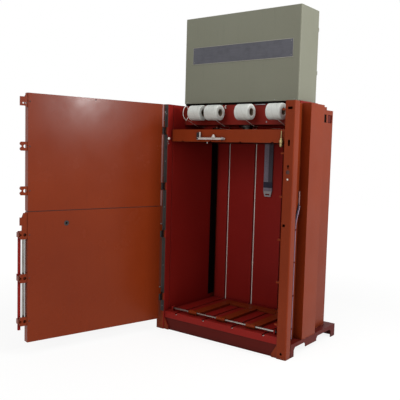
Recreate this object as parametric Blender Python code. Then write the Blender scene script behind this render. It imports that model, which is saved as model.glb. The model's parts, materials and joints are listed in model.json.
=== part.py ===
"""Upright recycling baler with two side-hung front doors, modelled in metres.

X runs across the machine, Y runs from the doors to the back wall, Z is up.
The origin is on the floor, under the front sill, midway between the posts.
"""
import math

import bpy
import bmesh
from mathutils import Matrix, Vector

for thing in list(bpy.data.objects):
    bpy.data.objects.remove(thing, do_unlink=True)

# Driving dimensions: clearances
FIT = 0.0003
RUNNING_FIT = 0.0006
OVERRUN = 0.01

# Driving dimensions: chamber and posts
CHAMBER_WIDTH = 1.20
CHAMBER_DEPTH = 0.80
POST_WIDTH = 0.09
POST_DEPTH = 0.08
POST_HEIGHT = 2.075
POST_WALL = 0.006
POST_CORNER = 0.010
FOOT_FLARE = 0.05
FOOT_FLARE_HEIGHT = 0.11
FOOT_FLARE_THICKNESS = 0.012

# Driving dimensions: base
BASE_HEIGHT = 0.11
BASE_REAR_REACH = 0.12
BASE_PLATE = 0.008
RAIL_LEDGE = 0.04
SILL_DEPTH = 0.10
POCKET_HEIGHT = 0.075
POCKET_CHAMFER = 0.02
FRONT_POCKET_START = 0.14
FRONT_POCKET_END = 0.345
REAR_POCKET_BEFORE_BACK = 0.25
REAR_POCKET_PAST_BACK = 0.04
MIDDLE_FOOT_LIFT = 0.035

# Driving dimensions: floor, walls and grooves
FLOOR_ABOVE_BASE = 0.06
SHEET = 0.006
SIDE_PLATE = 0.008
GROOVE_WIDTH = 0.022
GROOVE_DEPTH = 0.015
GROOVE_PITCH = 0.31
TAPE_COUNT = 4
CORNER_GAP = 0.07
APRON_SETBACK = 0.015

# Driving dimensions: side columns and rear corner posts
COLUMN_SETBACK = 0.272
COLUMN_DEPTH = 0.241
COLUMN_PLATE = 0.006
CORNER_POST_OUT = 0.02
CORNER_POST_REACH = 0.032
CORNER_POST_DROP = 0.027
CORNER_POST_FLANGE = 0.08
LIFT_SLOT_WIDTH = 0.042
LIFT_SLOT_HEIGHT = 0.070
LIFT_SLOT_DROP = 0.04
LIFT_SLOT_INSET = 0.148
LIFT_WINDOW_WIDTH = 0.080
LIFT_WINDOW_INSET = 0.070

# Driving dimensions: back ribs
BACK_RIB_COUNT = 3
BACK_RIB_HEIGHT = 0.10
BACK_RIB_DEPTH = 0.045
BACK_RIB_MARGIN = 0.30

# Driving dimensions: crosshead, top plate and cover
CROSSHEAD_HEIGHT = 0.175
CROSSHEAD_DEPTH = 0.30
CROSSHEAD_PLATE = 0.012
TOP_PLATE = 0.020
COVER_WIDTH = 1.195
COVER_SHIFT = -0.0125
COVER_DEPTH = 0.315
COVER_HEIGHT = 0.775
COVER_SHEET = 0.003
COVER_CORNER = 0.012
NAME_PLATE_MARGIN = 0.07
NAME_PLATE_HEIGHT = 0.145
NAME_PLATE_THICKNESS = 0.002
NAME_PLATE_DROP = 0.272

# Driving dimensions: press
BARREL_RADIUS = 0.080
BARREL_WALL = 0.015
BARREL_FLANGE_RADIUS = 0.120
BARREL_FLANGE = 0.025
BARREL_TOP_DROP = 0.045
BARREL_CAP = 0.025
GLAND_HEIGHT = 0.040
GLAND_LIP = 0.018
ROD_RADIUS = 0.045
PISTON_HEIGHT = 0.05
ROD_FLANGE_RADIUS = 0.10
ROD_FLANGE = 0.022
ROD_FLANGE_BOLTS = 8
ROD_BOLT_RADIUS = 0.009

# Driving dimensions: platen
PLATEN_HEIGHT = 0.108
PLATEN_PARKING_GAP = 0.05
PLATEN_PLATE = 0.015
PLATEN_SIDE_GAP = 0.015
PLATEN_FRONT_SETBACK = 0.05
PLATEN_REAR_GAP = 0.03
PLATEN_BEAM = 0.012
PLATEN_RIB_OFFSET = 0.125
PLATEN_GROOVE_DEPTH = 0.007
SHOE_HEIGHT = 0.16
SHOE_DEPTH = 0.034
SHOE_REACH = 0.008

# Driving dimensions: tape spools
SPOOL_RADIUS = 0.0675
SPOOL_LENGTH = 0.138
SPOOL_CORE_RADIUS = 0.027
SPOOL_EDGE = 0.006
SPOOL_RECESS = 0.004
SPOOL_DROP = 0.075
SPOOL_SETBACK = 0.13
SPOOL_CENTRE_SHARES = (-0.3033, -0.1508, 0.1158, 0.3721)
PEG_RADIUS = 0.024
PEG_WALL = 0.004
PEG_INSET = 0.03
HOLDER_PLATE = 0.006
HOLDER_HEIGHT = 0.07
HOLDER_FOOT = 0.03
TAPE_WIDTH = 0.010
TAPE_THICKNESS = 0.0012
TAPE_OVER_PLATEN = 0.036

# Driving dimensions: doors
HINGE_FORWARD = 0.030
HINGE_INSET = 0.055
DOOR_OVERLAP = 0.045
DOOR_OPEN_DEGREES = 104.3
DOOR_CLEARANCE = 0.004
DOOR_SKIN = 0.005
DOOR_EDGE_DEPTH = 0.055
DOOR_EDGE_PLATE = 0.006
DOOR_HINGE_MARGIN = 0.022
DOOR_BOTTOM_LAP = 0.002
DOOR_SEAM = 1.152
DOOR_SEAM_GAP = 0.006
DOOR_TOP_DROP = 0.004
DOOR_RIB_HEIGHT = 0.06
DOOR_RIB_PLATE = 0.006
KNUCKLE_RADIUS = 0.017
KNUCKLE_HEIGHT = 0.06
KNUCKLE_INSET_SHARE = 0.16
PIN_RADIUS = 0.010
PIN_HEAD_RADIUS = 0.014
PIN_HEAD = 0.006

# Driving dimensions: door lock
LOCKS_PER_DOOR = 3
LOCK_ABOVE_BOTTOM = 0.172
LOCK_BELOW_SEAM = 0.182
LOCK_ABOVE_SEAM = 0.163
LOCK_BELOW_TOP = 0.066
CLAW_REACH = 0.060
CLAW_HEIGHT = 0.070
CLAW_PLATE = 0.012
CLAW_HOLE_RADIUS = 0.013
CLAW_HOLE_SHARE = 0.34
CLAW_NOTCH_DEPTH_SHARE = 0.3
CLAW_NOTCH_HEIGHT_SHARE = 0.4
CLAW_TIP_HEIGHT_SHARE = 0.7
CLAW_TIP_CUT_SHARE = 0.25
TOP_CLAW_HOLE_RADIUS = 0.0075
TOP_CLAW_HOLE_SHARES = (0.25, 0.58)
TOP_CLAW_HOLE_DROP = 0.014
TOP_CLAW_GUSSET = 0.020
TOP_LUG_REACH = 0.024
TOP_LUG_CROWN = 0.008
LATCH_NECK = 0.043
LATCH_CROWN = 0.030
LATCH_NOSE_DROP = 0.107
LATCH_NOSE_HEIGHT = 0.063
GUIDE_ROD_RADIUS = 0.0105
LOCK_BAR_WIDTH = 0.022
LOCK_BAR_PLATE = 0.014
LOCK_BAR_BELOW = 0.075
LOCK_BAR_ABOVE = 0.028
GUIDE_BLOCK_HEIGHT = 0.04
GUIDE_BLOCK_DEPTH = 0.034
LOCK_COLLAR = 0.012
CATCH_RADIUS = 0.022
CATCH_CASE_SHARE = 1.5
CATCH_BORE_SHARE = 0.4
CATCH_FROM_SEAM = 0.103
CATCH_FROM_EDGE = 0.33

# Driving dimensions: door rests and holes of the right post
REST_LENGTH = 0.024
REST_HEIGHT = 0.014
REST_DEPTH = 0.020
POST_TOP_SLOT_DROP = 0.060
POST_TOP_SLOT_WIDTH = 0.040
POST_TOP_SLOT_HEIGHT = 0.020
POST_LONG_SLOT_DROP = 0.272
POST_LONG_SLOT_WIDTH = 0.018
POST_LONG_SLOT_HEIGHT = 0.048
POST_KEYHOLE_DROP = 0.183
POST_KEYHOLE_RADIUS = 0.009
POST_KEYHOLE_STEM = 0.022
POST_KEYHOLE_STEM_WIDTH = 0.009
POST_ROUND_HOLE_DROP = 0.048
POST_ROUND_HOLE_RADIUS = 0.015
POST_SQUARE_HOLE_BELOW_SEAM = 0.065
POST_SQUARE_HOLE = 0.022
POST_SQUARE_HOLE_INSET = 0.026
POST_FOOT_HOLE_Z = 0.045
POST_FOOT_HOLE_RADIUS = 0.011
SWITCH_DROP = 0.057
SWITCH_RADIUS = 0.008
SWITCH_TIP_SHARE = 0.7
SWITCH_DOME_SHARE = 0.3
SWITCH_PROUD = 0.003
SWITCH_BODY = 0.04

# Driving dimensions: catch arm and fitting on the platen beam
CATCH_ARM_INSET = 0.305
CATCH_ARM_LENGTH = 0.29
CATCH_ARM_HEIGHT = 0.018
CATCH_ARM_PLATE = 0.006
CATCH_ARM_RISE = 0.028
CATCH_BRACKET_WIDTH = 0.038
CATCH_BRACKET_HEIGHT = 0.062
CATCH_BRACKET_DEPTH = 0.014
CATCH_PIVOT_RADIUS = 0.006
CATCH_KNOB_RADIUS = 0.011
CATCH_KNOB_LENGTH = 0.024
CATCH_KNOB_END_SHARE = 0.5
CATCH_KNOB_TAPER_SHARE = 0.33
FITTING_INSET = 0.028
FITTING_BLOCK = 0.018
FITTING_REACH = 0.018
FITTING_TOP_DROP = 0.012
FITTING_STEM_RADIUS = 0.005
FITTING_KNOB_RADIUS = 0.013
FITTING_CAP_RADIUS = 0.015
FITTING_KNOB_HEIGHT = 0.040
FITTING_CAP_HEIGHT = 0.032
FITTING_NECK_SHARE = 0.6
FITTING_EDGE_SHARE = 0.25

# Driving dimensions: lifting strap
STRAP_WIDTH = 0.095
STRAP_THICKNESS = 0.005
STRAP_DROP = 0.50
STRAP_X = 0.0
STRAP_WALL_GAP = 0.006
STRAP_HOOK_HEIGHT = 0.055
STRAP_PAD = 0.004
STRAP_HOOK_TAPER_SHARE = 0.7
STRAP_HOOK_EYE_LOW_SHARE = 0.25
STRAP_HOOK_EYE_HIGH_SHARE = 0.5

# Driving dimensions: ejector
EJECTOR_SHAFT_RADIUS = 0.010
EJECTOR_SHAFT_HEIGHT = 0.024
EJECTOR_SETBACK = 0.075
EJECTOR_REAR_GAP = 0.105
EJECTOR_ARM_WIDTH = 0.09
EJECTOR_ARM_HEIGHT = 0.020
EJECTOR_EYE_RADIUS = 0.018
EJECTOR_LUG_WIDTH = 0.012
EJECTOR_LUG_INSET = 0.05

# Driving dimensions: power pack and conduit
TANK_SIDE_GAP = 0.042
TANK_BARREL_GAP = 0.02
TANK_DEPTH = 0.24
TANK_HEIGHT = 0.42
TANK_CORNER = 0.02
FILLER_RADIUS = 0.025
FILLER_HEIGHT = 0.03
MOTOR_RADIUS = 0.085
MOTOR_HEIGHT = 0.26
MOTOR_FIN_COUNT = 12
MOTOR_FIN = 0.008
PUMP_HEIGHT = 0.12
PUMP_SIZE = 0.14
CONDUIT_RADIUS = 0.007
CONDUIT_BOTTOM = 0.16
CONDUIT_OVER_SWITCH = 0.045

# Levels and planes that follow from the driving dimensions
HALF = CHAMBER_WIDTH / 2
OUTER = HALF + POST_WIDTH
FRONT = -POST_DEPTH / 2
BACK = FRONT + CHAMBER_DEPTH
BASE_REAR = BACK + BASE_REAR_REACH
POST_BACK = FRONT + POST_DEPTH
WALL_OUT = HALF + SIDE_PLATE
MIDDLE_Y = FRONT + CHAMBER_DEPTH / 2
FLOOR_TOP = BASE_HEIGHT + FLOOR_ABOVE_BASE
TOP_LEVEL = POST_HEIGHT + TOP_PLATE
COVER_TOP = TOP_LEVEL + FIT + COVER_HEIGHT
COVER_FRONT = MIDDLE_Y - COVER_DEPTH / 2
COVER_LEFT = COVER_SHIFT - COVER_WIDTH / 2
COVER_RIGHT = COVER_SHIFT + COVER_WIDTH / 2
CORNER_POST_HEIGHT = POST_HEIGHT - CORNER_POST_DROP
CROSSHEAD_BOTTOM = POST_HEIGHT - CROSSHEAD_HEIGHT
CROSSHEAD_FRONT = MIDDLE_Y - CROSSHEAD_DEPTH / 2
PLATEN_TOP = CROSSHEAD_BOTTOM - PLATEN_PARKING_GAP
PLATEN_BOTTOM = PLATEN_TOP - PLATEN_HEIGHT
PLATEN_HALF = HALF - PLATEN_SIDE_GAP
PLATEN_FRONT = FRONT + PLATEN_FRONT_SETBACK
PLATEN_REAR = BACK - PLATEN_REAR_GAP
HINGE_X = -OUTER + HINGE_INSET
HINGE_Y = FRONT - HINGE_FORWARD
DOOR_WIDTH = HALF - HINGE_X + DOOR_OVERLAP
DOOR_BOTTOM = BASE_HEIGHT - DOOR_BOTTOM_LAP
DOOR_TOP = POST_HEIGHT - DOOR_TOP_DROP
CATCH_ALONG = DOOR_WIDTH - CATCH_FROM_EDGE
SPOOL_HEIGHT = POST_HEIGHT - SPOOL_DROP
SPOOL_Y = FRONT + SPOOL_SETBACK
TAPE_LEVEL = PLATEN_TOP + TAPE_OVER_PLATEN
POST_TOP_SLOT_Z = POST_HEIGHT - POST_TOP_SLOT_DROP
POST_LONG_SLOT_Z = POST_TOP_SLOT_Z - POST_LONG_SLOT_DROP
POST_KEYHOLE_Z = POST_LONG_SLOT_Z - POST_KEYHOLE_DROP
POST_ROUND_HOLE_Z = POST_KEYHOLE_Z - POST_ROUND_HOLE_DROP
SWITCH_Z = POST_ROUND_HOLE_Z - SWITCH_DROP
POST_SQUARE_HOLE_Z = DOOR_SEAM - POST_SQUARE_HOLE_BELOW_SEAM
CATCH_ARM_LEFT = CATCH_ARM_INSET - PLATEN_HALF
CATCH_PIVOT_Z = PLATEN_BOTTOM + CATCH_ARM_RISE
EJECTOR_AXLE_Y = FRONT + EJECTOR_SETBACK
EJECTOR_AXLE_Z = FLOOR_TOP + EJECTOR_SHAFT_HEIGHT
CONDUIT_TOP = SWITCH_Z + CONDUIT_OVER_SWITCH


def spaced(first, last, count):
    """Give evenly spaced places from the first to the last."""
    return [first + (last - first) * step / (count - 1) for step in range(count)]


LOWER_LOCKS = spaced(DOOR_BOTTOM + LOCK_ABOVE_BOTTOM, DOOR_SEAM - LOCK_BELOW_SEAM, LOCKS_PER_DOOR)
UPPER_LOCKS = spaced(DOOR_SEAM + LOCK_ABOVE_SEAM, DOOR_TOP - LOCK_BELOW_TOP, LOCKS_PER_DOOR)
GROOVE_SPAN = GROOVE_PITCH * (TAPE_COUNT - 1)
GROOVES = spaced(-GROOVE_SPAN / 2, GROOVE_SPAN / 2, TAPE_COUNT)

# How finely round shapes are drawn
ROUND = 32
SMALL_ROUND = 18
CORNER_STEPS = 4


def tone(red, green, blue):
    """Turn screen colour levels of 0 to 255 into a linear colour."""
    levels = []
    for level in (red, green, blue):
        share = level / 255
        levels.append(share / 12.92 if share <= 0.04045 else ((share + 0.055) / 1.055) ** 2.4)
    return (*levels, 1.0)


def finish(name, colour, roughness, metallic):
    material = bpy.data.materials.new(name)
    material.use_nodes = True
    shader = material.node_tree.nodes["Principled BSDF"]
    shader.inputs["Base Color"].default_value = colour
    shader.inputs["Roughness"].default_value = roughness
    shader.inputs["Metallic"].default_value = metallic
    material.diffuse_color = colour
    return material


# Finishes: colour, roughness and how metallic the surface is
RED_PAINT = (tone(150, 58, 34), 0.45, 0.0)
DEEP_RED_PAINT = (tone(104, 22, 20), 0.5, 0.0)
COVER_PAINT = (tone(146, 146, 124), 0.5, 0.0)
PLATE_FACE = (tone(92, 92, 100), 0.35, 0.0)
MACHINE_GREY = (tone(120, 122, 124), 0.45, 0.0)
TAPE_WHITE = (tone(214, 218, 212), 0.5, 0.0)
WEBBING = (tone(104, 116, 138), 0.8, 0.0)
BLACK_COAT = (tone(30, 30, 32), 0.5, 0.0)
STEEL = (tone(176, 176, 172), 0.35, 0.9)
POLISHED_STEEL = (tone(186, 186, 182), 0.2, 1.0)
BRASS = (tone(176, 150, 92), 0.35, 0.6)


def make_object(name, mesh_data, look):
    mesh = bpy.data.meshes.new(name)
    bmesh.ops.remove_doubles(mesh_data, verts=mesh_data.verts, dist=FIT / 100)
    bmesh.ops.recalc_face_normals(mesh_data, faces=mesh_data.faces)
    mesh_data.to_mesh(mesh)
    mesh_data.free()
    thing = bpy.data.objects.new(name, mesh)
    bpy.context.scene.collection.objects.link(thing)
    mesh.materials.append(finish(name + "_finish", *look))
    return thing


def placed(axis, along, first, second):
    """Give the point whose place along an axis and in the plane across it is known."""
    if axis == "X":
        return (along, first, second)
    if axis == "Y":
        return (first, along, second)
    return (first, second, along)


def prism(axis, low, high, outline):
    """Extrude a closed outline along an axis; return its bmesh."""
    shape = bmesh.new()
    corners = [shape.verts.new(placed(axis, low, a, b)) for a, b in outline]
    face = shape.faces.new(corners)
    grown = bmesh.ops.extrude_face_region(shape, geom=[face])
    moved = [item for item in grown["geom"] if isinstance(item, bmesh.types.BMVert)]
    bmesh.ops.translate(shape, verts=moved, vec=placed(axis, high - low, 0, 0))
    bmesh.ops.recalc_face_normals(shape, faces=shape.faces)
    return shape


def rectangle(a_low, a_high, b_low, b_high):
    return [(a_low, b_low), (a_high, b_low), (a_high, b_high), (a_low, b_high)]


def block(x_low, x_high, y_low, y_high, z_low, z_high):
    return prism("Z", z_low, z_high, rectangle(x_low, x_high, y_low, y_high))


def rounded(outline, radius, steps=CORNER_STEPS):
    """Replace each corner of a convex outline by an arc of the given radius."""
    points = []
    count = len(outline)
    for index, corner in enumerate(outline):
        here = Vector(corner)
        before = (Vector(outline[index - 1]) - here).normalized()
        after = (Vector(outline[(index + 1) % count]) - here).normalized()
        half = before.angle(after) / 2
        reach = radius / math.tan(half)
        centre = here + (before + after).normalized() * radius / math.sin(half)
        start = here + before * reach - centre
        turn = start.angle_signed(here + after * reach - centre)
        for step in range(steps + 1):
            spot = start.copy()
            spot.rotate(Matrix.Rotation(-turn * step / steps, 2))
            points.append(tuple(centre + spot))
    return points


def circle(a, b, radius, sides=ROUND):
    turn = 2 * math.pi / sides
    return [
        (a + radius * math.cos(turn * step), b + radius * math.sin(turn * step))
        for step in range(sides)
    ]


def folded(path, thickness):
    """Give the closed outline of a sheet folded along a path, built up on its left."""
    points = [Vector(spot) for spot in path]
    lefts = []
    for first, second in zip(points, points[1:]):
        run = (second - first).normalized()
        lefts.append(Vector((-run.y, run.x)))
    offset = []
    for index, spot in enumerate(points):
        before = lefts[max(index - 1, 0)]
        after = lefts[min(index, len(lefts) - 1)]
        middle = (before + after).normalized()
        offset.append(spot + middle * thickness / middle.dot(after))
    return [tuple(spot) for spot in points + offset[::-1]]


def turned(profile, axis, centre, sides=ROUND):
    """Spin a profile of radius and height pairs about an axis through a centre.

    A profile that starts and ends on the axis makes a solid; a closed one makes a ring.
    """
    shape = bmesh.new()
    closed = profile[0][0] > 0
    spots = [shape.verts.new((radius, 0, height)) for radius, height in profile]
    lines = [shape.edges.new(pair) for pair in zip(spots, spots[1:])]
    if closed:
        lines.append(shape.edges.new((spots[-1], spots[0])))
    bmesh.ops.spin(
        shape, geom=spots + lines, cent=(0, 0, 0), axis=(0, 0, 1),
        angle=2 * math.pi, steps=sides, use_merge=True, use_duplicate=False,
    )
    bmesh.ops.remove_doubles(shape, verts=shape.verts, dist=FIT / 100)
    bmesh.ops.recalc_face_normals(shape, faces=shape.faces)
    if axis == "X":
        bmesh.ops.rotate(shape, verts=shape.verts, matrix=Matrix.Rotation(math.pi / 2, 3, "Y"))
    if axis == "Y":
        bmesh.ops.rotate(shape, verts=shape.verts, matrix=Matrix.Rotation(-math.pi / 2, 3, "X"))
    bmesh.ops.translate(shape, verts=shape.verts, vec=centre)
    return shape


def rod(axis, low, high, first, second, radius, sides=SMALL_ROUND):
    return prism(axis, low, high, circle(first, second, radius, sides))


def set_origin(thing, spot):
    """Put a piece's origin at a point of its own space, without moving the piece."""
    spot = Vector(spot)
    thing.data.transform(Matrix.Translation(-spot))
    thing.location = thing.matrix_basis @ spot


def as_object(shape):
    mesh = bpy.data.meshes.new("tool")
    shape.to_mesh(mesh)
    shape.free()
    thing = bpy.data.objects.new("tool", mesh)
    bpy.context.scene.collection.objects.link(thing)
    return thing


def combine(target, shape, operation):
    """Join a shape to an object, or cut it out of it, and keep the result as its mesh."""
    tool = as_object(shape)
    change = target.modifiers.new("change", "BOOLEAN")
    change.operation = operation
    change.solver = "EXACT"
    change.object = tool
    graph = bpy.context.evaluated_depsgraph_get()
    result = bpy.data.meshes.new_from_object(target.evaluated_get(graph))
    target.modifiers.remove(change)
    result.name = target.name
    target.data = result
    bpy.data.objects.remove(tool, do_unlink=True)


def join(target, shapes):
    for shape in shapes:
        combine(target, shape, "UNION")


def cut(target, shapes):
    for shape in shapes:
        combine(target, shape, "DIFFERENCE")


def smooth(thing, degrees=35):
    thing.data.shade_smooth()
    thing.data.set_sharp_from_angle(angle=math.radians(degrees))


def mirrored(shape):
    """Turn a shape made for the right side into its left twin."""
    bmesh.ops.scale(shape, vec=(-1, 1, 1), verts=shape.verts)
    bmesh.ops.reverse_faces(shape, faces=shape.faces)
    return shape


def on_side(shape, side):
    return shape if side > 0 else mirrored(shape)


def base_rail_outline():
    """Side view of a base rail: two feet, two fork pockets and a short tongue between them."""
    front = POST_BACK + FIT
    points = [(front, 0)]
    for start, end, low, far_low in (
        (FRONT + FRONT_POCKET_START, FRONT + FRONT_POCKET_END, 0, MIDDLE_FOOT_LIFT),
        (BACK - REAR_POCKET_BEFORE_BACK, BACK + REAR_POCKET_PAST_BACK, MIDDLE_FOOT_LIFT, 0),
    ):
        points += [
            (start, low),
            (start, POCKET_HEIGHT - POCKET_CHAMFER),
            (start + POCKET_CHAMFER, POCKET_HEIGHT),
            (end - POCKET_CHAMFER, POCKET_HEIGHT),
            (end, POCKET_HEIGHT - POCKET_CHAMFER),
            (end, far_low),
        ]
    points += [(BASE_REAR, 0), (BASE_REAR, BASE_HEIGHT), (front, BASE_HEIGHT)]
    return points


def make_base_frame():
    """Two channel rails with fork pockets, joined by a sill beam and a rear member."""
    inner = HALF - RAIL_LEDGE
    sill_half = HALF - FIT
    sill_front = FRONT + POST_CORNER + FOOT_FLARE_THICKNESS + FIT
    sill = folded(
        [
            (FRONT + SILL_DEPTH, 0),
            (sill_front, 0),
            (sill_front, BASE_HEIGHT),
            (FRONT + SILL_DEPTH, BASE_HEIGHT),
        ],
        -BASE_PLATE,
    )
    frame = make_object("base_frame", prism("X", -sill_half, sill_half, sill), RED_PAINT)
    rear = folded(
        [
            (BASE_REAR - SILL_DEPTH, 0),
            (BASE_REAR, 0),
            (BASE_REAR, BASE_HEIGHT),
            (BASE_REAR - SILL_DEPTH, BASE_HEIGHT),
        ],
        BASE_PLATE,
    )
    join(frame, [prism("X", -inner - BASE_PLATE / 2, inner + BASE_PLATE / 2, rear)])
    for side in (1, -1):
        rail = as_object(on_side(prism("X", inner, OUTER, base_rail_outline()), side))
        hollow = block(
            inner + BASE_PLATE, OUTER - BASE_PLATE,
            POST_BACK + BASE_PLATE, BASE_REAR - BASE_PLATE,
            -OVERRUN, BASE_HEIGHT - BASE_PLATE,
        )
        combine(rail, on_side(hollow, side), "DIFFERENCE")
        shape = bmesh.new()
        shape.from_mesh(rail.data)
        bpy.data.objects.remove(rail, do_unlink=True)
        join(frame, [shape])
    return frame


def grooved_path(level, dip, ends):
    """Walk across the machine at one level, dipping into each tape groove."""
    path = [(ends[0], level)]
    for groove in GROOVES:
        left = groove - GROOVE_WIDTH / 2
        right = groove + GROOVE_WIDTH / 2
        path += [(left, level), (left, dip), (right, dip), (right, level)]
    path.append((ends[1], level))
    return path


def make_chamber_floor():
    """Folded pan with four tape grooves, side skirts and a front apron."""
    half = HALF - FIT
    low = BASE_HEIGHT + FIT
    path = grooved_path(FLOOR_TOP, FLOOR_TOP - GROOVE_DEPTH, (-half, half))
    path = [(-half, low)] + path + [(half, low)]
    front = FRONT + APRON_SETBACK
    pan = make_object(
        "chamber_floor", prism("Y", front, BACK - FIT, folded(path, -SHEET)), DEEP_RED_PAINT,
    )
    apron = as_object(block(-half, half, front, front + SHEET, low, FLOOR_TOP))
    for groove in GROOVES:
        notch = block(
            groove - GROOVE_WIDTH / 2, groove + GROOVE_WIDTH / 2,
            front - OVERRUN, front + SHEET + OVERRUN,
            FLOOR_TOP - GROOVE_DEPTH, FLOOR_TOP + OVERRUN,
        )
        combine(apron, notch, "DIFFERENCE")
    shape = bmesh.new()
    shape.from_mesh(apron.data)
    bpy.data.objects.remove(apron, do_unlink=True)
    join(pan, [shape])
    near = HALF - EJECTOR_LUG_INSET
    for side in (1, -1):
        lug = block(
            near - EJECTOR_LUG_WIDTH, near,
            EJECTOR_AXLE_Y - EJECTOR_EYE_RADIUS, EJECTOR_AXLE_Y + EJECTOR_EYE_RADIUS,
            FLOOR_TOP - SHEET / 2, EJECTOR_AXLE_Z + EJECTOR_EYE_RADIUS,
        )
        join(pan, [on_side(lug, side)])
    shaft_room = rod(
        "X", -HALF, HALF, EJECTOR_AXLE_Y, EJECTOR_AXLE_Z, EJECTOR_SHAFT_RADIUS + RUNNING_FIT,
    )
    cut(pan, [shaft_room])
    return pan


def make_post(name, side):
    """Square tube with rounded corners, closed on top, with a foot flared inwards."""
    outline = rounded(rectangle(HALF, OUTER, FRONT, POST_BACK), POST_CORNER)
    inside = rounded(
        rectangle(HALF + POST_WALL, OUTER - POST_WALL, FRONT + POST_WALL, POST_BACK - POST_WALL),
        POST_CORNER - POST_WALL,
    )
    post = make_object(name, on_side(prism("Z", 0, POST_HEIGHT, outline), side), RED_PAINT)
    join(post, [foot_flare(side)])
    core = prism("Z", -OVERRUN, POST_HEIGHT - POST_WALL, inside)
    cut(post, [on_side(core, side)])
    return post


def foot_flare(side):
    """Gusset that widens the foot of the post towards the opening, just before the sill."""
    corner = HALF + POST_WALL / 2
    outline = [
        (corner, 0),
        (HALF - FOOT_FLARE, 0),
        (HALF - FOOT_FLARE, FOOT_FLARE_HEIGHT / 4),
        (HALF, FOOT_FLARE_HEIGHT),
        (corner, FOOT_FLARE_HEIGHT),
    ]
    shape = prism("Y", FRONT + POST_CORNER, FRONT + POST_CORNER + FOOT_FLARE_THICKNESS, outline)
    return on_side(shape, side)


def knuckle_levels(bottom, top):
    """Bottom of a door's two knuckles on the post; the door's own turn on top of them."""
    inset = (top - bottom) * KNUCKLE_INSET_SHARE
    return [bottom + inset, top - inset - 2 * KNUCKLE_HEIGHT]


def door_spans():
    half_gap = DOOR_SEAM_GAP / 2
    return ((DOOR_BOTTOM, DOOR_SEAM - half_gap), (DOOR_SEAM + half_gap, DOOR_TOP))


def knuckle_outline(reach):
    """Round hinge eye about the axis with a straight arm of its own width along +X."""
    half_turn = SMALL_ROUND // 2
    points = []
    for step in range(half_turn + 1):
        angle = math.pi / 2 + math.pi * step / half_turn
        points.append((KNUCKLE_RADIUS * math.cos(angle), KNUCKLE_RADIUS * math.sin(angle)))
    return points + [(reach, -KNUCKLE_RADIUS), (reach, KNUCKLE_RADIUS)]


def make_left_post():
    post = make_post("left_post", -1)
    lower_span, upper_span = door_spans()
    for level in knuckle_levels(*lower_span) + knuckle_levels(*upper_span):
        turned_outline = [
            (HINGE_X - across, HINGE_Y + along)
            for along, across in knuckle_outline(HINGE_FORWARD + POST_WALL / 2)
        ]
        join(post, [prism("Z", level, level + KNUCKLE_HEIGHT, turned_outline)])
        cut(post, [
            rod(
                "Z", level - OVERRUN, level + KNUCKLE_HEIGHT + OVERRUN,
                HINGE_X, HINGE_Y, PIN_RADIUS + FIT,
            ),
        ])
    return post


def make_right_post():
    """Lock side post: door rests on its inner face, slots and holes in its front face."""
    post = make_post("right_post", 1)
    for level in LOWER_LOCKS + UPPER_LOCKS:
        rest = block(
            HALF - REST_LENGTH, HALF + POST_WALL / 2, FRONT + FIT, FRONT + REST_DEPTH,
            level - REST_HEIGHT / 2, level + REST_HEIGHT / 2,
        )
        join(post, [rest])
    middle = HALF + POST_WIDTH / 2
    near, far = FRONT - OVERRUN, FRONT + POST_WALL + OVERRUN
    cut(post, [
        window(near, far, middle, POST_TOP_SLOT_Z, POST_TOP_SLOT_WIDTH, POST_TOP_SLOT_HEIGHT),
        window(near, far, middle, POST_LONG_SLOT_Z, POST_LONG_SLOT_WIDTH, POST_LONG_SLOT_HEIGHT),
        rod("Y", near, far, middle, POST_KEYHOLE_Z, POST_KEYHOLE_RADIUS),
        window(
            near, far, middle, POST_KEYHOLE_Z - POST_KEYHOLE_STEM / 2,
            POST_KEYHOLE_STEM_WIDTH, POST_KEYHOLE_STEM,
        ),
        rod("Y", near, far, middle, POST_ROUND_HOLE_Z, POST_ROUND_HOLE_RADIUS),
        rod("Y", near, far, middle, SWITCH_Z, SWITCH_RADIUS + RUNNING_FIT),
        window(
            near, far, HALF + POST_SQUARE_HOLE_INSET, POST_SQUARE_HOLE_Z,
            POST_SQUARE_HOLE, POST_SQUARE_HOLE,
        ),
        rod("Y", near, far, middle, POST_FOOT_HOLE_Z, POST_FOOT_HOLE_RADIUS),
    ])
    return post


def window(near, far, x, z, width, height):
    outline = rectangle(x - width / 2, x + width / 2, z - height / 2, z + height / 2)
    return prism("Y", near, far, outline)


def make_side_wall(name, side):
    """Plate between the post and the rear corner gap that the platen shoes run in."""
    shape = block(
        HALF, WALL_OUT, POST_BACK + FIT, BACK - CORNER_GAP, BASE_HEIGHT + FIT, POST_HEIGHT,
    )
    return make_object(name, on_side(shape, side), DEEP_RED_PAINT)


def make_side_column(name, side):
    """Channel on the outside of the wall that ties the base to the crosshead."""
    front = FRONT + COLUMN_SETBACK
    rear = front + COLUMN_DEPTH
    wall = WALL_OUT + FIT
    path = [(wall, front), (OUTER, front), (OUTER, rear), (wall, rear)]
    column = make_object(
        name,
        on_side(prism("Z", BASE_HEIGHT + FIT, POST_HEIGHT, folded(path, COLUMN_PLATE)), side),
        RED_PAINT,
    )
    lid = block(wall, OUTER, front, rear, POST_HEIGHT - COLUMN_PLATE, POST_HEIGHT)
    join(column, [on_side(lid, side)])
    return column


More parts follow.
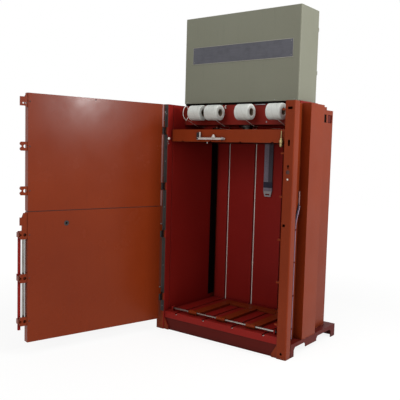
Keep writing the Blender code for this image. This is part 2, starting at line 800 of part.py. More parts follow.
def make_corner_post(name, side):
    """Angle that wraps the rear corner, with a lifting slot and a window near its top."""
    front = FRONT + COLUMN_SETBACK + COLUMN_DEPTH + FIT
    rear = BACK + CORNER_POST_REACH
    out = HALF + CORNER_POST_OUT
    path = [(out, front), (out, rear), (out - CORNER_POST_FLANGE, rear)]
    angle = make_object(
        name,
        on_side(
            prism("Z", BASE_HEIGHT + FIT, CORNER_POST_HEIGHT, folded(path, COLUMN_PLATE)), side,
        ),
        RED_PAINT,
    )
    top = CORNER_POST_HEIGHT - LIFT_SLOT_DROP
    for inset, width in (
        (LIFT_SLOT_INSET, LIFT_SLOT_WIDTH), (LIFT_WINDOW_INSET + LIFT_SLOT_INSET, LIFT_WINDOW_WIDTH),
    ):
        hole = block(
            out - COLUMN_PLATE - OVERRUN / 2, out + OVERRUN,
            front + inset, front + inset + width, top - LIFT_SLOT_HEIGHT, top,
        )
        cut(angle, [on_side(hole, side)])
    return angle


def make_back_wall():
    """Sheet folded into four upright tape grooves that open into the chamber."""
    half = HALF - FIT
    path = grooved_path(BACK, BACK + GROOVE_DEPTH, (-half, half))
    shape = prism("Z", BASE_HEIGHT + FIT, CORNER_POST_HEIGHT, folded(path, SHEET))
    return make_object("back_wall", shape, DEEP_RED_PAINT)


def make_back_ribs():
    """Channels across the back that stiffen the wall behind its grooves."""
    front = BACK + GROOVE_DEPTH + SHEET + FIT
    half = HALF + CORNER_POST_OUT - CORNER_POST_FLANGE - FIT
    lowest = BASE_HEIGHT + BACK_RIB_MARGIN
    highest = CROSSHEAD_BOTTOM - BACK_RIB_MARGIN - BACK_RIB_HEIGHT
    ribs = []
    for index, low in enumerate(spaced(lowest, highest, BACK_RIB_COUNT)):
        path = [
            (front, low),
            (front + BACK_RIB_DEPTH, low),
            (front + BACK_RIB_DEPTH, low + BACK_RIB_HEIGHT),
            (front, low + BACK_RIB_HEIGHT),
        ]
        shape = prism("X", -half, half, folded(path, SHEET))
        ribs.append(make_object("back_rib_" + str(index + 1), shape, RED_PAINT))
    return ribs


def make_crosshead():
    """Open-topped box girder that takes the press force, with the barrel's hole."""
    front = CROSSHEAD_FRONT
    rear = CROSSHEAD_FRONT + CROSSHEAD_DEPTH
    top = POST_HEIGHT - FIT
    path = [(front, top), (front, CROSSHEAD_BOTTOM), (rear, CROSSHEAD_BOTTOM), (rear, top)]
    half = HALF - FIT
    girder = make_object(
        "crosshead", prism("X", -half, half, folded(path, CROSSHEAD_PLATE)), DEEP_RED_PAINT,
    )
    for side in (1, -1):
        end = block(
            half - CROSSHEAD_PLATE, half, front, rear, CROSSHEAD_BOTTOM, top,
        )
        join(girder, [on_side(end, side)])
    cut(girder, [
        rod(
            "Z", CROSSHEAD_BOTTOM - OVERRUN, CROSSHEAD_BOTTOM + CROSSHEAD_PLATE + OVERRUN,
            0, MIDDLE_Y, BARREL_RADIUS + FIT, ROUND,
        ),
    ])
    return girder


def make_top_plate():
    plate = make_object(
        "top_plate",
        block(
            -HALF + FIT, HALF - FIT,
            CROSSHEAD_FRONT, CROSSHEAD_FRONT + CROSSHEAD_DEPTH + TOP_PLATE,
            POST_HEIGHT, TOP_LEVEL,
        ),
        DEEP_RED_PAINT,
    )
    cut(plate, [
        rod(
            "Z", POST_HEIGHT - OVERRUN, TOP_LEVEL + OVERRUN,
            0, MIDDLE_Y, BARREL_RADIUS + FIT, ROUND,
        ),
    ])
    return plate


def make_top_cover():
    """Sheet hood over the power pack, open underneath, with rounded edges."""
    bottom = TOP_LEVEL + FIT
    outline = rounded(
        rectangle(COVER_LEFT, COVER_RIGHT, COVER_FRONT, COVER_FRONT + COVER_DEPTH),
        COVER_CORNER,
    )
    shape = prism("Z", bottom, COVER_TOP, outline)
    rim = [
        edge for edge in shape.edges
        if all(abs(spot.co.z - COVER_TOP) < FIT for spot in edge.verts)
    ]
    bmesh.ops.bevel(
        shape, geom=rim, offset=COVER_CORNER / 2, segments=CORNER_STEPS - 1,
        profile=0.5, affect="EDGES", material=-1,
    )
    cover = make_object("top_cover", shape, COVER_PAINT)
    inside = rounded(
        rectangle(
            COVER_LEFT + COVER_SHEET, COVER_RIGHT - COVER_SHEET,
            COVER_FRONT + COVER_SHEET, COVER_FRONT + COVER_DEPTH - COVER_SHEET,
        ),
        COVER_CORNER - COVER_SHEET,
    )
    cut(cover, [prism("Z", bottom - OVERRUN, COVER_TOP - COVER_SHEET, inside)])
    return cover


def make_name_plate():
    top = COVER_TOP - NAME_PLATE_DROP
    half = COVER_RIGHT - NAME_PLATE_MARGIN
    shape = block(
        -half, half, COVER_FRONT - FIT - NAME_PLATE_THICKNESS, COVER_FRONT - FIT,
        top - NAME_PLATE_HEIGHT, top,
    )
    return make_object("name_plate", shape, PLATE_FACE)


def make_press():
    """Barrel with its flange, the gland under it, the rod with its piston and flange."""
    barrel_top = COVER_TOP - BARREL_TOP_DROP
    bottom = CROSSHEAD_BOTTOM
    seat = TOP_LEVEL + FIT
    bore = BARREL_RADIUS - BARREL_WALL
    barrel = [
        (0, barrel_top),
        (BARREL_RADIUS, barrel_top),
        (BARREL_RADIUS, seat + BARREL_FLANGE),
        (BARREL_FLANGE_RADIUS, seat + BARREL_FLANGE),
        (BARREL_FLANGE_RADIUS, seat),
        (BARREL_RADIUS, seat),
        (BARREL_RADIUS, bottom),
        (bore, bottom),
        (bore, barrel_top - BARREL_CAP),
        (0, barrel_top - BARREL_CAP),
    ]
    centre = (0, MIDDLE_Y, 0)
    barrel_object = make_object("press_barrel", turned(barrel, "Z", centre), MACHINE_GREY)
    gland = [
        (ROD_RADIUS + RUNNING_FIT, bottom - GLAND_LIP),
        (BARREL_RADIUS, bottom - GLAND_LIP),
        (BARREL_RADIUS, bottom - FIT),
        (bore - FIT, bottom - FIT),
        (bore - FIT, bottom + GLAND_HEIGHT),
        (ROD_RADIUS + RUNNING_FIT, bottom + GLAND_HEIGHT),
    ]
    gland_object = make_object(
        "barrel_gland", turned(gland, "Z", centre), STEEL,
    )
    rod_foot = PLATEN_BOTTOM + PLATEN_PLATE + FIT
    piston_top = barrel_top - BARREL_CAP - OVERRUN
    piston_low = piston_top - PISTON_HEIGHT
    rod_profile = [
        (0, rod_foot),
        (ROD_FLANGE_RADIUS, rod_foot),
        (ROD_FLANGE_RADIUS, rod_foot + ROD_FLANGE),
        (ROD_RADIUS, rod_foot + ROD_FLANGE),
        (ROD_RADIUS, piston_low - FIT),
        (0, piston_low - FIT),
    ]
    rod_object = make_object(
        "piston_rod", turned(rod_profile, "Z", centre), POLISHED_STEEL,
    )
    for index in range(ROD_FLANGE_BOLTS):
        angle = 2 * math.pi * (index + 0.5) / ROD_FLANGE_BOLTS
        reach = (ROD_RADIUS + ROD_FLANGE_RADIUS) / 2
        head = rod(
            "Z", rod_foot + ROD_FLANGE / 2, rod_foot + ROD_FLANGE + ROD_BOLT_RADIUS,
            reach * math.cos(angle), MIDDLE_Y + reach * math.sin(angle), ROD_BOLT_RADIUS, 6,
        )
        join(rod_object, [head])
    piston = [
        (0, piston_low),
        (bore - RUNNING_FIT, piston_low),
        (bore - RUNNING_FIT, piston_top),
        (0, piston_top),
    ]
    piston_object = make_object(
        "press_piston", turned(piston, "Z", centre), STEEL,
    )
    for part in (barrel_object, gland_object, rod_object, piston_object):
        smooth(part)
    return rod_object, piston_object


def make_platen():
    """Press plate with tape grooves below and a frame of upright plates on top."""
    plate = make_object(
        "platen",
        block(
            -PLATEN_HALF, PLATEN_HALF, PLATEN_FRONT, PLATEN_REAR,
            PLATEN_BOTTOM, PLATEN_BOTTOM + PLATEN_PLATE,
        ),
        RED_PAINT,
    )
    low = PLATEN_BOTTOM + PLATEN_PLATE / 2
    uprights = [
        block(-PLATEN_HALF, PLATEN_HALF, PLATEN_FRONT, PLATEN_FRONT + PLATEN_BEAM, low, PLATEN_TOP),
        block(-PLATEN_HALF, PLATEN_HALF, PLATEN_REAR - PLATEN_BEAM, PLATEN_REAR, low, PLATEN_TOP),
    ]
    for side in (1, -1):
        for near in (PLATEN_RIB_OFFSET, PLATEN_HALF - PLATEN_BEAM):
            rib = block(
                near, near + PLATEN_BEAM, PLATEN_FRONT + PLATEN_BEAM / 2,
                PLATEN_REAR - PLATEN_BEAM / 2, low, PLATEN_TOP,
            )
            uprights.append(on_side(rib, side))
    join(plate, uprights)
    grooves = []
    for groove in GROOVES:
        grooves.append(block(
            groove - GROOVE_WIDTH / 2, groove + GROOVE_WIDTH / 2,
            PLATEN_FRONT - OVERRUN, PLATEN_REAR + OVERRUN,
            PLATEN_BOTTOM - OVERRUN, PLATEN_BOTTOM + PLATEN_GROOVE_DEPTH,
        ))
    cut(plate, grooves)
    return plate


def make_guide_shoes():
    """Plastic blocks at the rear corners that run in the gaps behind the side walls."""
    shoes = []
    rear = PLATEN_REAR
    for name, side in (("right_guide_shoe", 1), ("left_guide_shoe", -1)):
        outline = rounded(
            rectangle(rear - SHOE_DEPTH, rear, PLATEN_BOTTOM, PLATEN_BOTTOM + SHOE_HEIGHT),
            SHOE_REACH,
        )
        shape = prism(
            "X", PLATEN_HALF + FIT, HALF + SHOE_REACH, outline,
        )
        shoes.append(make_object(name, on_side(shape, side), BLACK_COAT))
    return shoes


def make_catch():
    """Pivoting arm along the lower edge of the platen beam, its bracket and its knob."""
    face = PLATEN_FRONT - FIT
    pivot_z = CATCH_PIVOT_Z
    low = pivot_z - CATCH_ARM_HEIGHT / 2
    bracket = make_object(
        "catch_bracket",
        block(
            CATCH_ARM_LEFT - CATCH_BRACKET_WIDTH / 2, CATCH_ARM_LEFT + CATCH_BRACKET_WIDTH / 2,
            face - CATCH_BRACKET_DEPTH, face, low, low + CATCH_BRACKET_HEIGHT,
        ),
        BLACK_COAT,
    )
    pin = rod(
        "Y", face - CATCH_BRACKET_DEPTH - CATCH_ARM_PLATE - FIT - CATCH_PIVOT_RADIUS,
        face - CATCH_BRACKET_DEPTH / 2, CATCH_ARM_LEFT, pivot_z, CATCH_PIVOT_RADIUS,
    )
    join(bracket, [pin])
    arm_back = face - CATCH_BRACKET_DEPTH - FIT
    arm_front = arm_back - CATCH_ARM_PLATE
    end = CATCH_ARM_LEFT + CATCH_ARM_LENGTH
    half = CATCH_ARM_HEIGHT / 2
    outline = [
        (CATCH_ARM_LEFT - half, pivot_z - half),
        (end - half, pivot_z - half),
        (end, pivot_z - half / 2),
        (end, pivot_z + half / 2),
        (end - half, pivot_z + half),
        (CATCH_ARM_LEFT - half, pivot_z + half),
    ]
    arm = make_object("catch_arm", prism("Y", arm_front, arm_back, outline), STEEL)
    cut(arm, [
        rod(
            "Y", arm_front - OVERRUN, arm_back + OVERRUN, CATCH_ARM_LEFT, pivot_z,
            CATCH_PIVOT_RADIUS + RUNNING_FIT,
        ),
    ])
    end_radius = CATCH_KNOB_RADIUS * CATCH_KNOB_END_SHARE
    taper = CATCH_KNOB_LENGTH * CATCH_KNOB_TAPER_SHARE
    knob_profile = [
        (0, 0),
        (end_radius, 0),
        (CATCH_KNOB_RADIUS, taper),
        (CATCH_KNOB_RADIUS, CATCH_KNOB_LENGTH - taper),
        (end_radius, CATCH_KNOB_LENGTH),
        (0, CATCH_KNOB_LENGTH),
    ]
    knob = make_object(
        "catch_knob",
        turned(
            knob_profile, "Y",
            (end - CATCH_ARM_HEIGHT, arm_front - FIT - CATCH_KNOB_LENGTH, pivot_z), SMALL_ROUND,
        ),
        BLACK_COAT,
    )
    stop = block(
        end - 3 * CATCH_ARM_HEIGHT, end - 2 * CATCH_ARM_HEIGHT, arm_front,
        face + PLATEN_BEAM / 2, low - CATCH_ARM_PLATE - FIT, low - FIT,
    )
    for thing in (arm, knob):
        set_origin(thing, (CATCH_ARM_LEFT, arm_front, pivot_z))
    return bracket, stop


def make_beam_fitting():
    """Turned brass valve, held by a small block at the right end of the beam."""
    x = PLATEN_HALF - FITTING_INSET
    face = PLATEN_FRONT - FIT
    half = FITTING_BLOCK / 2
    foot = PLATEN_BOTTOM - FITTING_CAP_HEIGHT
    shoulder = PLATEN_BOTTOM + FITTING_KNOB_HEIGHT
    cap_edge = FITTING_CAP_HEIGHT * FITTING_EDGE_SHARE
    knob_edge = FITTING_KNOB_HEIGHT * FITTING_EDGE_SHARE
    fitting = make_object(
        "beam_fitting",
        block(
            x - half, x + half, face - FITTING_REACH / 2, face,
            PLATEN_BOTTOM + knob_edge / 2, shoulder - knob_edge / 2,
        ),
        BRASS,
    )
    profile = [
        (0, foot),
        (FITTING_CAP_RADIUS * FITTING_NECK_SHARE, foot),
        (FITTING_CAP_RADIUS, foot + cap_edge),
        (FITTING_CAP_RADIUS, PLATEN_BOTTOM - cap_edge),
        (FITTING_KNOB_RADIUS * FITTING_NECK_SHARE, PLATEN_BOTTOM),
        (FITTING_KNOB_RADIUS, PLATEN_BOTTOM + knob_edge),
        (FITTING_KNOB_RADIUS, shoulder - knob_edge),
        (FITTING_STEM_RADIUS, shoulder),
        (FITTING_STEM_RADIUS, PLATEN_TOP - FITTING_TOP_DROP),
        (0, PLATEN_TOP - FITTING_TOP_DROP),
    ]
    join(fitting, [turned(profile, "Z", (x, face - FITTING_REACH, 0), SMALL_ROUND)])
    return fitting


def make_lifting_strap():
    """Webbing strap that hangs down the back wall from the platen, with its hook."""
    rear = BACK - STRAP_WALL_GAP
    front = rear - STRAP_THICKNESS
    half = STRAP_WIDTH / 2
    top = PLATEN_TOP - PLATEN_BEAM
    low = PLATEN_BOTTOM - STRAP_DROP + STRAP_HOOK_HEIGHT
    strap = make_object(
        "lifting_strap", block(STRAP_X - half, STRAP_X + half, front, rear, low, top),
        WEBBING,
    )
    hanger_front = PLATEN_REAR + FIT
    hanger = make_object(
        "strap_hanger",
        block(
            STRAP_X - half, STRAP_X + half, hanger_front, front - FIT,
            PLATEN_BOTTOM, top,
        ),
        RED_PAINT,
    )
    hook_front = front - STRAP_PAD
    hook_low = low - FIT - STRAP_HOOK_HEIGHT
    outline = rounded(
        [
            (STRAP_X - half * STRAP_HOOK_TAPER_SHARE, hook_low),
            (STRAP_X + half * STRAP_HOOK_TAPER_SHARE, hook_low),
            (STRAP_X + half, low - FIT),
            (STRAP_X - half, low - FIT),
        ],
        STRAP_PAD,
    )
    hook = make_object("strap_hook", prism("Y", hook_front, rear, outline), STEEL)
    eye = rounded(
        rectangle(
            STRAP_X - half / 2, STRAP_X + half / 2,
            hook_low + STRAP_HOOK_HEIGHT * STRAP_HOOK_EYE_LOW_SHARE,
            hook_low + STRAP_HOOK_HEIGHT * STRAP_HOOK_EYE_HIGH_SHARE,
        ),
        STRAP_PAD,
    )
    cut(hook, [prism("Y", hook_front - OVERRUN, rear + OVERRUN, eye)])
    return strap, hanger, hook


def make_spools():
    """Tape spools, each turning on the peg of its own holder on the crosshead."""
    y = SPOOL_Y
    web = CROSSHEAD_FRONT - FIT
    for index, share in enumerate(SPOOL_CENTRE_SHARES):
        left = CHAMBER_WIDTH * share - SPOOL_LENGTH / 2
        inner = SPOOL_CORE_RADIUS
        profile = [
            (inner, 0),
            (SPOOL_RADIUS - SPOOL_EDGE, 0),
            (SPOOL_RADIUS, SPOOL_EDGE),
            (SPOOL_RADIUS, SPOOL_LENGTH - SPOOL_EDGE),
            (SPOOL_RADIUS - SPOOL_EDGE, SPOOL_LENGTH),
            (inner + 2 * SPOOL_RECESS, SPOOL_LENGTH),
            (inner + SPOOL_RECESS, SPOOL_LENGTH - SPOOL_RECESS),
            (inner, SPOOL_LENGTH - SPOOL_RECESS),
        ]
        spool = make_object(
            "tape_spool_" + str(index + 1), turned(profile, "X", (left, y, SPOOL_HEIGHT)),
            TAPE_WHITE,
        )
        smooth(spool)
        set_origin(spool, (left, y, SPOOL_HEIGHT))
        plate_left = left - FIT - HOLDER_PLATE
        half = HOLDER_HEIGHT / 2
        outline = [
            (y - half, SPOOL_HEIGHT - half),
            (web, SPOOL_HEIGHT - half),
            (web, SPOOL_HEIGHT + half),
            (y - half, SPOOL_HEIGHT + half),
        ]
        holder = make_object(
            "spool_holder_" + str(index + 1),
            prism("X", plate_left, plate_left + HOLDER_PLATE, outline), BLACK_COAT,
        )
        foot = block(
            plate_left, plate_left + HOLDER_FOOT, web - HOLDER_PLATE, web,
            SPOOL_HEIGHT - half, SPOOL_HEIGHT + half,
        )
        peg_end = left + SPOOL_LENGTH - PEG_INSET
        peg = rod(
            "X", plate_left + HOLDER_PLATE / 2, peg_end, y, SPOOL_HEIGHT, PEG_RADIUS, SMALL_ROUND,
        )
        join(holder, [foot, peg])
        cut(holder, [
            rod(
                "X", left + PEG_WALL, peg_end + OVERRUN, y, SPOOL_HEIGHT,
                PEG_RADIUS - PEG_WALL, SMALL_ROUND,
            ),
        ])


def make_tapes():
    """Tapes from the spools over the platen, down the back wall and along the floor."""
    start_y = SPOOL_Y
    start_z = SPOOL_HEIGHT - SPOOL_RADIUS - FIT
    back_y = BACK + GROOVE_DEPTH - FIT
    floor_z = FLOOR_TOP - GROOVE_DEPTH + FIT
    end_y = FRONT + APRON_SETBACK
    path = [
        (end_y, floor_z),
        (back_y, floor_z),
        (back_y, TAPE_LEVEL),
        (start_y + 2 * SPOOL_RADIUS, TAPE_LEVEL),
        (start_y, start_z),
        (start_y - SPOOL_RADIUS / 2, start_z),
    ]
    for index, groove in enumerate(GROOVES):
        shape = prism(
            "X", groove - TAPE_WIDTH / 2, groove + TAPE_WIDTH / 2, folded(path, TAPE_THICKNESS),
        )
        make_object("tape_" + str(index + 1), shape, TAPE_WHITE)


def door_edge():
    """Outer face of the door's folded edge, measured from the hinge axis."""
    return door_face() - DOOR_EDGE_DEPTH


def door_face():
    """Inner face of the door's skin, measured from the hinge axis."""
    return HINGE_FORWARD - DOOR_CLEARANCE


def claw_root():
    return DOOR_WIDTH - DOOR_EDGE_PLATE / 2


def claw_plate(outline):
    """Give an outline in the plane of the door the thickness of the claws."""
    back = door_face() - DOOR_SKIN - FIT
    return prism("Y", back - CLAW_PLATE, back, outline)


def claw_end(level):
    """Outline of a claw from its root to the top of its end, with the notch."""
    tip = DOOR_WIDTH + CLAW_REACH
    half = CLAW_HEIGHT / 2
    corner = half * CLAW_TIP_CUT_SHARE
    high = half * CLAW_TIP_HEIGHT_SHARE
    notch = half * CLAW_NOTCH_HEIGHT_SHARE
    return [
        (claw_root(), level - half),
        (tip - corner, level - half),
        (tip, level - high),
        (tip, level - notch),
        (tip - CLAW_REACH * CLAW_NOTCH_DEPTH_SHARE, level),
        (tip, level + notch),
        (tip, level + high),
        (tip - corner, level + half),
    ]


def claw(level):
    """Flat claw with a notch in its end, in the plane of the door."""
    return claw_plate(claw_end(level) + [(claw_root(), level + CLAW_HEIGHT / 2)])


def latch_claw(level, top):
    """Claw that goes on upwards as the stepped plate below the doors' seam."""
    neck = DOOR_WIDTH + LATCH_NECK
    tip = DOOR_WIDTH + CLAW_REACH
    nose = DOOR_SEAM - LATCH_NOSE_DROP
    return claw_plate(claw_end(level) + [
        (neck, level + CLAW_HEIGHT / 2),
        (neck, nose),
        (tip, nose),
        (tip, nose + LATCH_NOSE_HEIGHT),
        (neck, nose + LATCH_NOSE_HEIGHT),
        (DOOR_WIDTH + LATCH_CROWN, top - DOOR_EDGE_PLATE),
        (claw_root(), top - DOOR_EDGE_PLATE),
    ])


def top_claw(level, top):
    """Plain claw at the upper door's top corner, with a gusset below and a lug above."""
    tip = DOOR_WIDTH + CLAW_REACH
    half = CLAW_HEIGHT / 2
    return claw_plate([
        (claw_root(), level - half - TOP_CLAW_GUSSET),
        (DOOR_WIDTH + TOP_CLAW_GUSSET, level - half),
        (tip, level - half),
        (tip, level + half),
        (DOOR_WIDTH + TOP_LUG_REACH, level + half),
        (DOOR_WIDTH + TOP_LUG_CROWN, top - FIT),
        (claw_root(), top - FIT),
    ])


def add_claws(pan, levels, top):
    """Join the claws of one door to its edge and cut their holes."""
    near, far = door_edge() - OVERRUN, door_face() + OVERRUN
    for level in levels:
        if level == UPPER_LOCKS[-1]:
            join(pan, [top_claw(level, top)])
            for share in TOP_CLAW_HOLE_SHARES:
                cut(pan, [
                    rod(
                        "Y", near, far, DOOR_WIDTH + CLAW_REACH * share,
                        level - TOP_CLAW_HOLE_DROP, TOP_CLAW_HOLE_RADIUS,
                    ),
                ])
            continue
        join(pan, [latch_claw(level, top) if level == LOWER_LOCKS[-1] else claw(level)])
        hole_x = DOOR_WIDTH + CLAW_REACH * CLAW_HOLE_SHARE
        cut(pan, [rod("Y", near, far, hole_x, level, CLAW_HOLE_RADIUS)])


def make_door(name, bottom, top, levels):
    """Folded pan of sheet with angle ribs outside, hinge knuckles and claws."""
    face = door_face()
    edge = door_edge()
    near = DOOR_HINGE_MARGIN
    pan = make_object(name, block(near, DOOR_WIDTH, edge, face, bottom, top), RED_PAINT)
    cut(pan, [
        block(
            near + DOOR_EDGE_PLATE, DOOR_WIDTH - DOOR_EDGE_PLATE,
            edge - OVERRUN, face - DOOR_SKIN, bottom + DOOR_EDGE_PLATE, top - DOOR_EDGE_PLATE,
        ),
    ])
    half = DOOR_RIB_HEIGHT / 2
    for level in levels:
        path = [(face - DOOR_SKIN / 2, level - half), (edge, level - half), (edge, level + half)]
        rib = prism(
            "X", near + DOOR_EDGE_PLATE / 2, DOOR_WIDTH - DOOR_EDGE_PLATE / 2,
            folded(path, -DOOR_RIB_PLATE),
        )
        join(pan, [rib])
    add_claws(pan, levels, top)
    for low in knuckle_levels(bottom, top):
        start = low + KNUCKLE_HEIGHT + RUNNING_FIT
        end = start + KNUCKLE_HEIGHT
        join(pan, [prism("Z", start, end, knuckle_outline(near + DOOR_EDGE_PLATE / 2))])
        cut(pan, [
            prism(
                "Z", start - OVERRUN, end + OVERRUN,
                circle(0, 0, PIN_RADIUS + RUNNING_FIT, SMALL_ROUND),
            ),
        ])
    return pan


def lock_bar_x():
    return DOOR_WIDTH + CLAW_REACH - LOCK_BAR_WIDTH / 2


def lock_bar_y():
    return door_edge() + LOCK_BAR_PLATE / 2


def add_guide_blocks(pan, levels):
    """Blocks outside the claws that carry the guide rod and the lock bar."""
    outer = door_edge()
    half = GUIDE_BLOCK_HEIGHT / 2
    for level in levels:
        guide = block(
            DOOR_WIDTH - DOOR_EDGE_PLATE / 2, DOOR_WIDTH + CLAW_REACH + OVERRUN / 2,
            outer - GUIDE_BLOCK_DEPTH / 4, outer + GUIDE_BLOCK_DEPTH,
            level - half, level + half,
        )
        join(pan, [guide])
    cut(pan, [
        block(
            lock_bar_x() - LOCK_BAR_WIDTH / 2 - RUNNING_FIT,
            lock_bar_x() + LOCK_BAR_WIDTH / 2 + RUNNING_FIT,
            lock_bar_y() - LOCK_BAR_PLATE / 2 - RUNNING_FIT,
            lock_bar_y() + LOCK_BAR_PLATE / 2 + RUNNING_FIT,
            levels[0] - CLAW_HEIGHT, levels[-1] + CLAW_HEIGHT,
        ),
        prism(
            "Z", levels[0] - CLAW_HEIGHT, levels[-1] + CLAW_HEIGHT,
            circle(guide_rod_x(), lock_bar_y(), GUIDE_ROD_RADIUS + FIT, SMALL_ROUND),
        ),
    ])


def guide_rod_x():
    return DOOR_WIDTH + GUIDE_ROD_RADIUS + DOOR_EDGE_PLATE


def hang_on_hinge(*things):
    """Place pieces that are modelled round the hinge axis, with the door standing open."""
    for thing in things:
        thing.location = (HINGE_X, HINGE_Y, 0)
        thing.rotation_euler = (0, 0, -math.radians(DOOR_OPEN_DEGREES))


def make_doors():
    lower_span, upper_span = door_spans()
    upper = make_door("upper_door", upper_span[0], upper_span[1], UPPER_LOCKS)
    lower = make_door("lower_door", lower_span[0], lower_span[1], LOWER_LOCKS)
    add_guide_blocks(lower, LOWER_LOCKS)
    catch_z = lower_span[1] - CATCH_FROM_SEAM
    face = door_face()
    cut(lower, [
        rod("Y", face - 2 * DOOR_SKIN, face + OVERRUN, CATCH_ALONG, catch_z, CATCH_RADIUS),
    ])
    case_radius = CATCH_RADIUS * CATCH_CASE_SHARE
    case_depth = case_radius
    bore = CATCH_RADIUS * CATCH_BORE_SHARE
    catch_profile = [
        (0, 0),
        (case_radius, 0),
        (case_radius, case_depth - DOOR_SKIN),
        (CATCH_RADIUS - FIT, case_depth - DOOR_SKIN),
        (CATCH_RADIUS - FIT, case_depth),
        (bore, case_depth),
        (bore, case_depth / 2),
        (0, case_depth / 2),
    ]
    catch = make_object(
        "door_catch",
        turned(catch_profile, "Y", (CATCH_ALONG, face - FIT - case_depth, catch_z), SMALL_ROUND),
        BLACK_COAT,
    )
    rod_object = make_object(
        "guide_rod",
        prism(
            "Z", LOWER_LOCKS[0] - GUIDE_BLOCK_HEIGHT / 2, LOWER_LOCKS[-1] + GUIDE_BLOCK_HEIGHT / 2,
            circle(guide_rod_x(), lock_bar_y(), GUIDE_ROD_RADIUS, SMALL_ROUND),
        ),
        POLISHED_STEEL,
    )
    smooth(rod_object)
    bar_low = LOWER_LOCKS[0] - LOCK_BAR_BELOW
    bar_top = LOWER_LOCKS[-1] + LOCK_BAR_ABOVE
    bar = make_object(
        "lock_bar",
        block(
            lock_bar_x() - LOCK_BAR_WIDTH / 2, lock_bar_x() + LOCK_BAR_WIDTH / 2,
            lock_bar_y() - LOCK_BAR_PLATE / 2, lock_bar_y() + LOCK_BAR_PLATE / 2,
            bar_low, bar_top,
        ),
        DEEP_RED_PAINT,
    )
    seat = LOWER_LOCKS[1] + GUIDE_BLOCK_HEIGHT / 2 + FIT
    collar = block(
        lock_bar_x() - LOCK_BAR_WIDTH / 2 - OVERRUN / 2, lock_bar_x() + LOCK_BAR_WIDTH / 2 + OVERRUN / 2,
        lock_bar_y() - LOCK_BAR_PLATE / 2 - OVERRUN, lock_bar_y() + LOCK_BAR_PLATE / 2,
        seat, seat + LOCK_COLLAR,
    )
    join(bar, [collar])
    hang_on_hinge(upper, lower, catch, rod_object, bar)
    set_origin(bar, (lock_bar_x(), lock_bar_y(), bar_low))


def make_hinge_pins():
    """Headed pins through each pair of knuckles."""
    names = ("lower_door_pin_1", "lower_door_pin_2", "upper_door_pin_1", "upper_door_pin_2")
    lower_span, upper_span = door_spans()
    for name, level in zip(names, knuckle_levels(*lower_span) + knuckle_levels(*upper_span)):
        top = level + 2 * KNUCKLE_HEIGHT + 2 * RUNNING_FIT
        profile = [
            (0, level),
            (PIN_RADIUS, level),
            (PIN_RADIUS, top),
            (PIN_HEAD_RADIUS, top),
            (PIN_HEAD_RADIUS, top + PIN_HEAD),
            (0, top + PIN_HEAD),
        ]
        pin = make_object(
            name, turned(profile, "Z", (HINGE_X, HINGE_Y, 0), SMALL_ROUND), STEEL,
        )
        smooth(pin)


def make_door_switch():
    """Sprung plunger that the closed door sits just in front of."""
    x = HALF + POST_WIDTH / 2
    tip = FRONT - SWITCH_PROUD
    profile = [
        (0, 0),
        (SWITCH_RADIUS * SWITCH_TIP_SHARE, 0),
        (SWITCH_RADIUS, SWITCH_RADIUS * SWITCH_DOME_SHARE),
        (SWITCH_RADIUS, SWITCH_BODY),
        (0, SWITCH_BODY),
    ]
    plunger = make_object(
        "switch_plunger", turned(profile, "Y", (x, tip, SWITCH_Z), SMALL_ROUND), TAPE_WHITE,
    )
    smooth(plunger)
    set_origin(plunger, (x, tip, SWITCH_Z))


def make_ejector():
    """Frame of three flat arms that lies on the floor and tips up about its shaft."""
    axle_y = EJECTOR_AXLE_Y
    axle_z = EJECTOR_AXLE_Z
    low = FLOOR_TOP + FIT
    rear = BACK - EJECTOR_REAR_GAP
    half = EJECTOR_ARM_WIDTH / 2
    reach = GROOVE_PITCH + half
    frame = make_object(
        "ejector_frame",
        block(-reach, reach, rear - EJECTOR_ARM_WIDTH, rear, low, low + EJECTOR_ARM_HEIGHT),
        RED_PAINT,
    )
    for step in (-1, 0, 1):
        x = step * GROOVE_PITCH
        arm = block(
            x - half, x + half, axle_y, rear - half, low, low + EJECTOR_ARM_HEIGHT,
        )
        eye = rod("X", x - half, x + half, axle_y, axle_z, EJECTOR_EYE_RADIUS)
        join(frame, [arm, eye])
    cut(frame, [
        rod("X", -HALF, HALF, axle_y, axle_z, EJECTOR_SHAFT_RADIUS + RUNNING_FIT),
    ])
    set_origin(frame, (0, axle_y, axle_z))
    shaft_half = HALF - EJECTOR_LUG_INSET
    shaft = make_object(
        "ejector_shaft",
        rod("X", -shaft_half, shaft_half, axle_y, axle_z, EJECTOR_SHAFT_RADIUS), STEEL,
    )
    smooth(shaft)


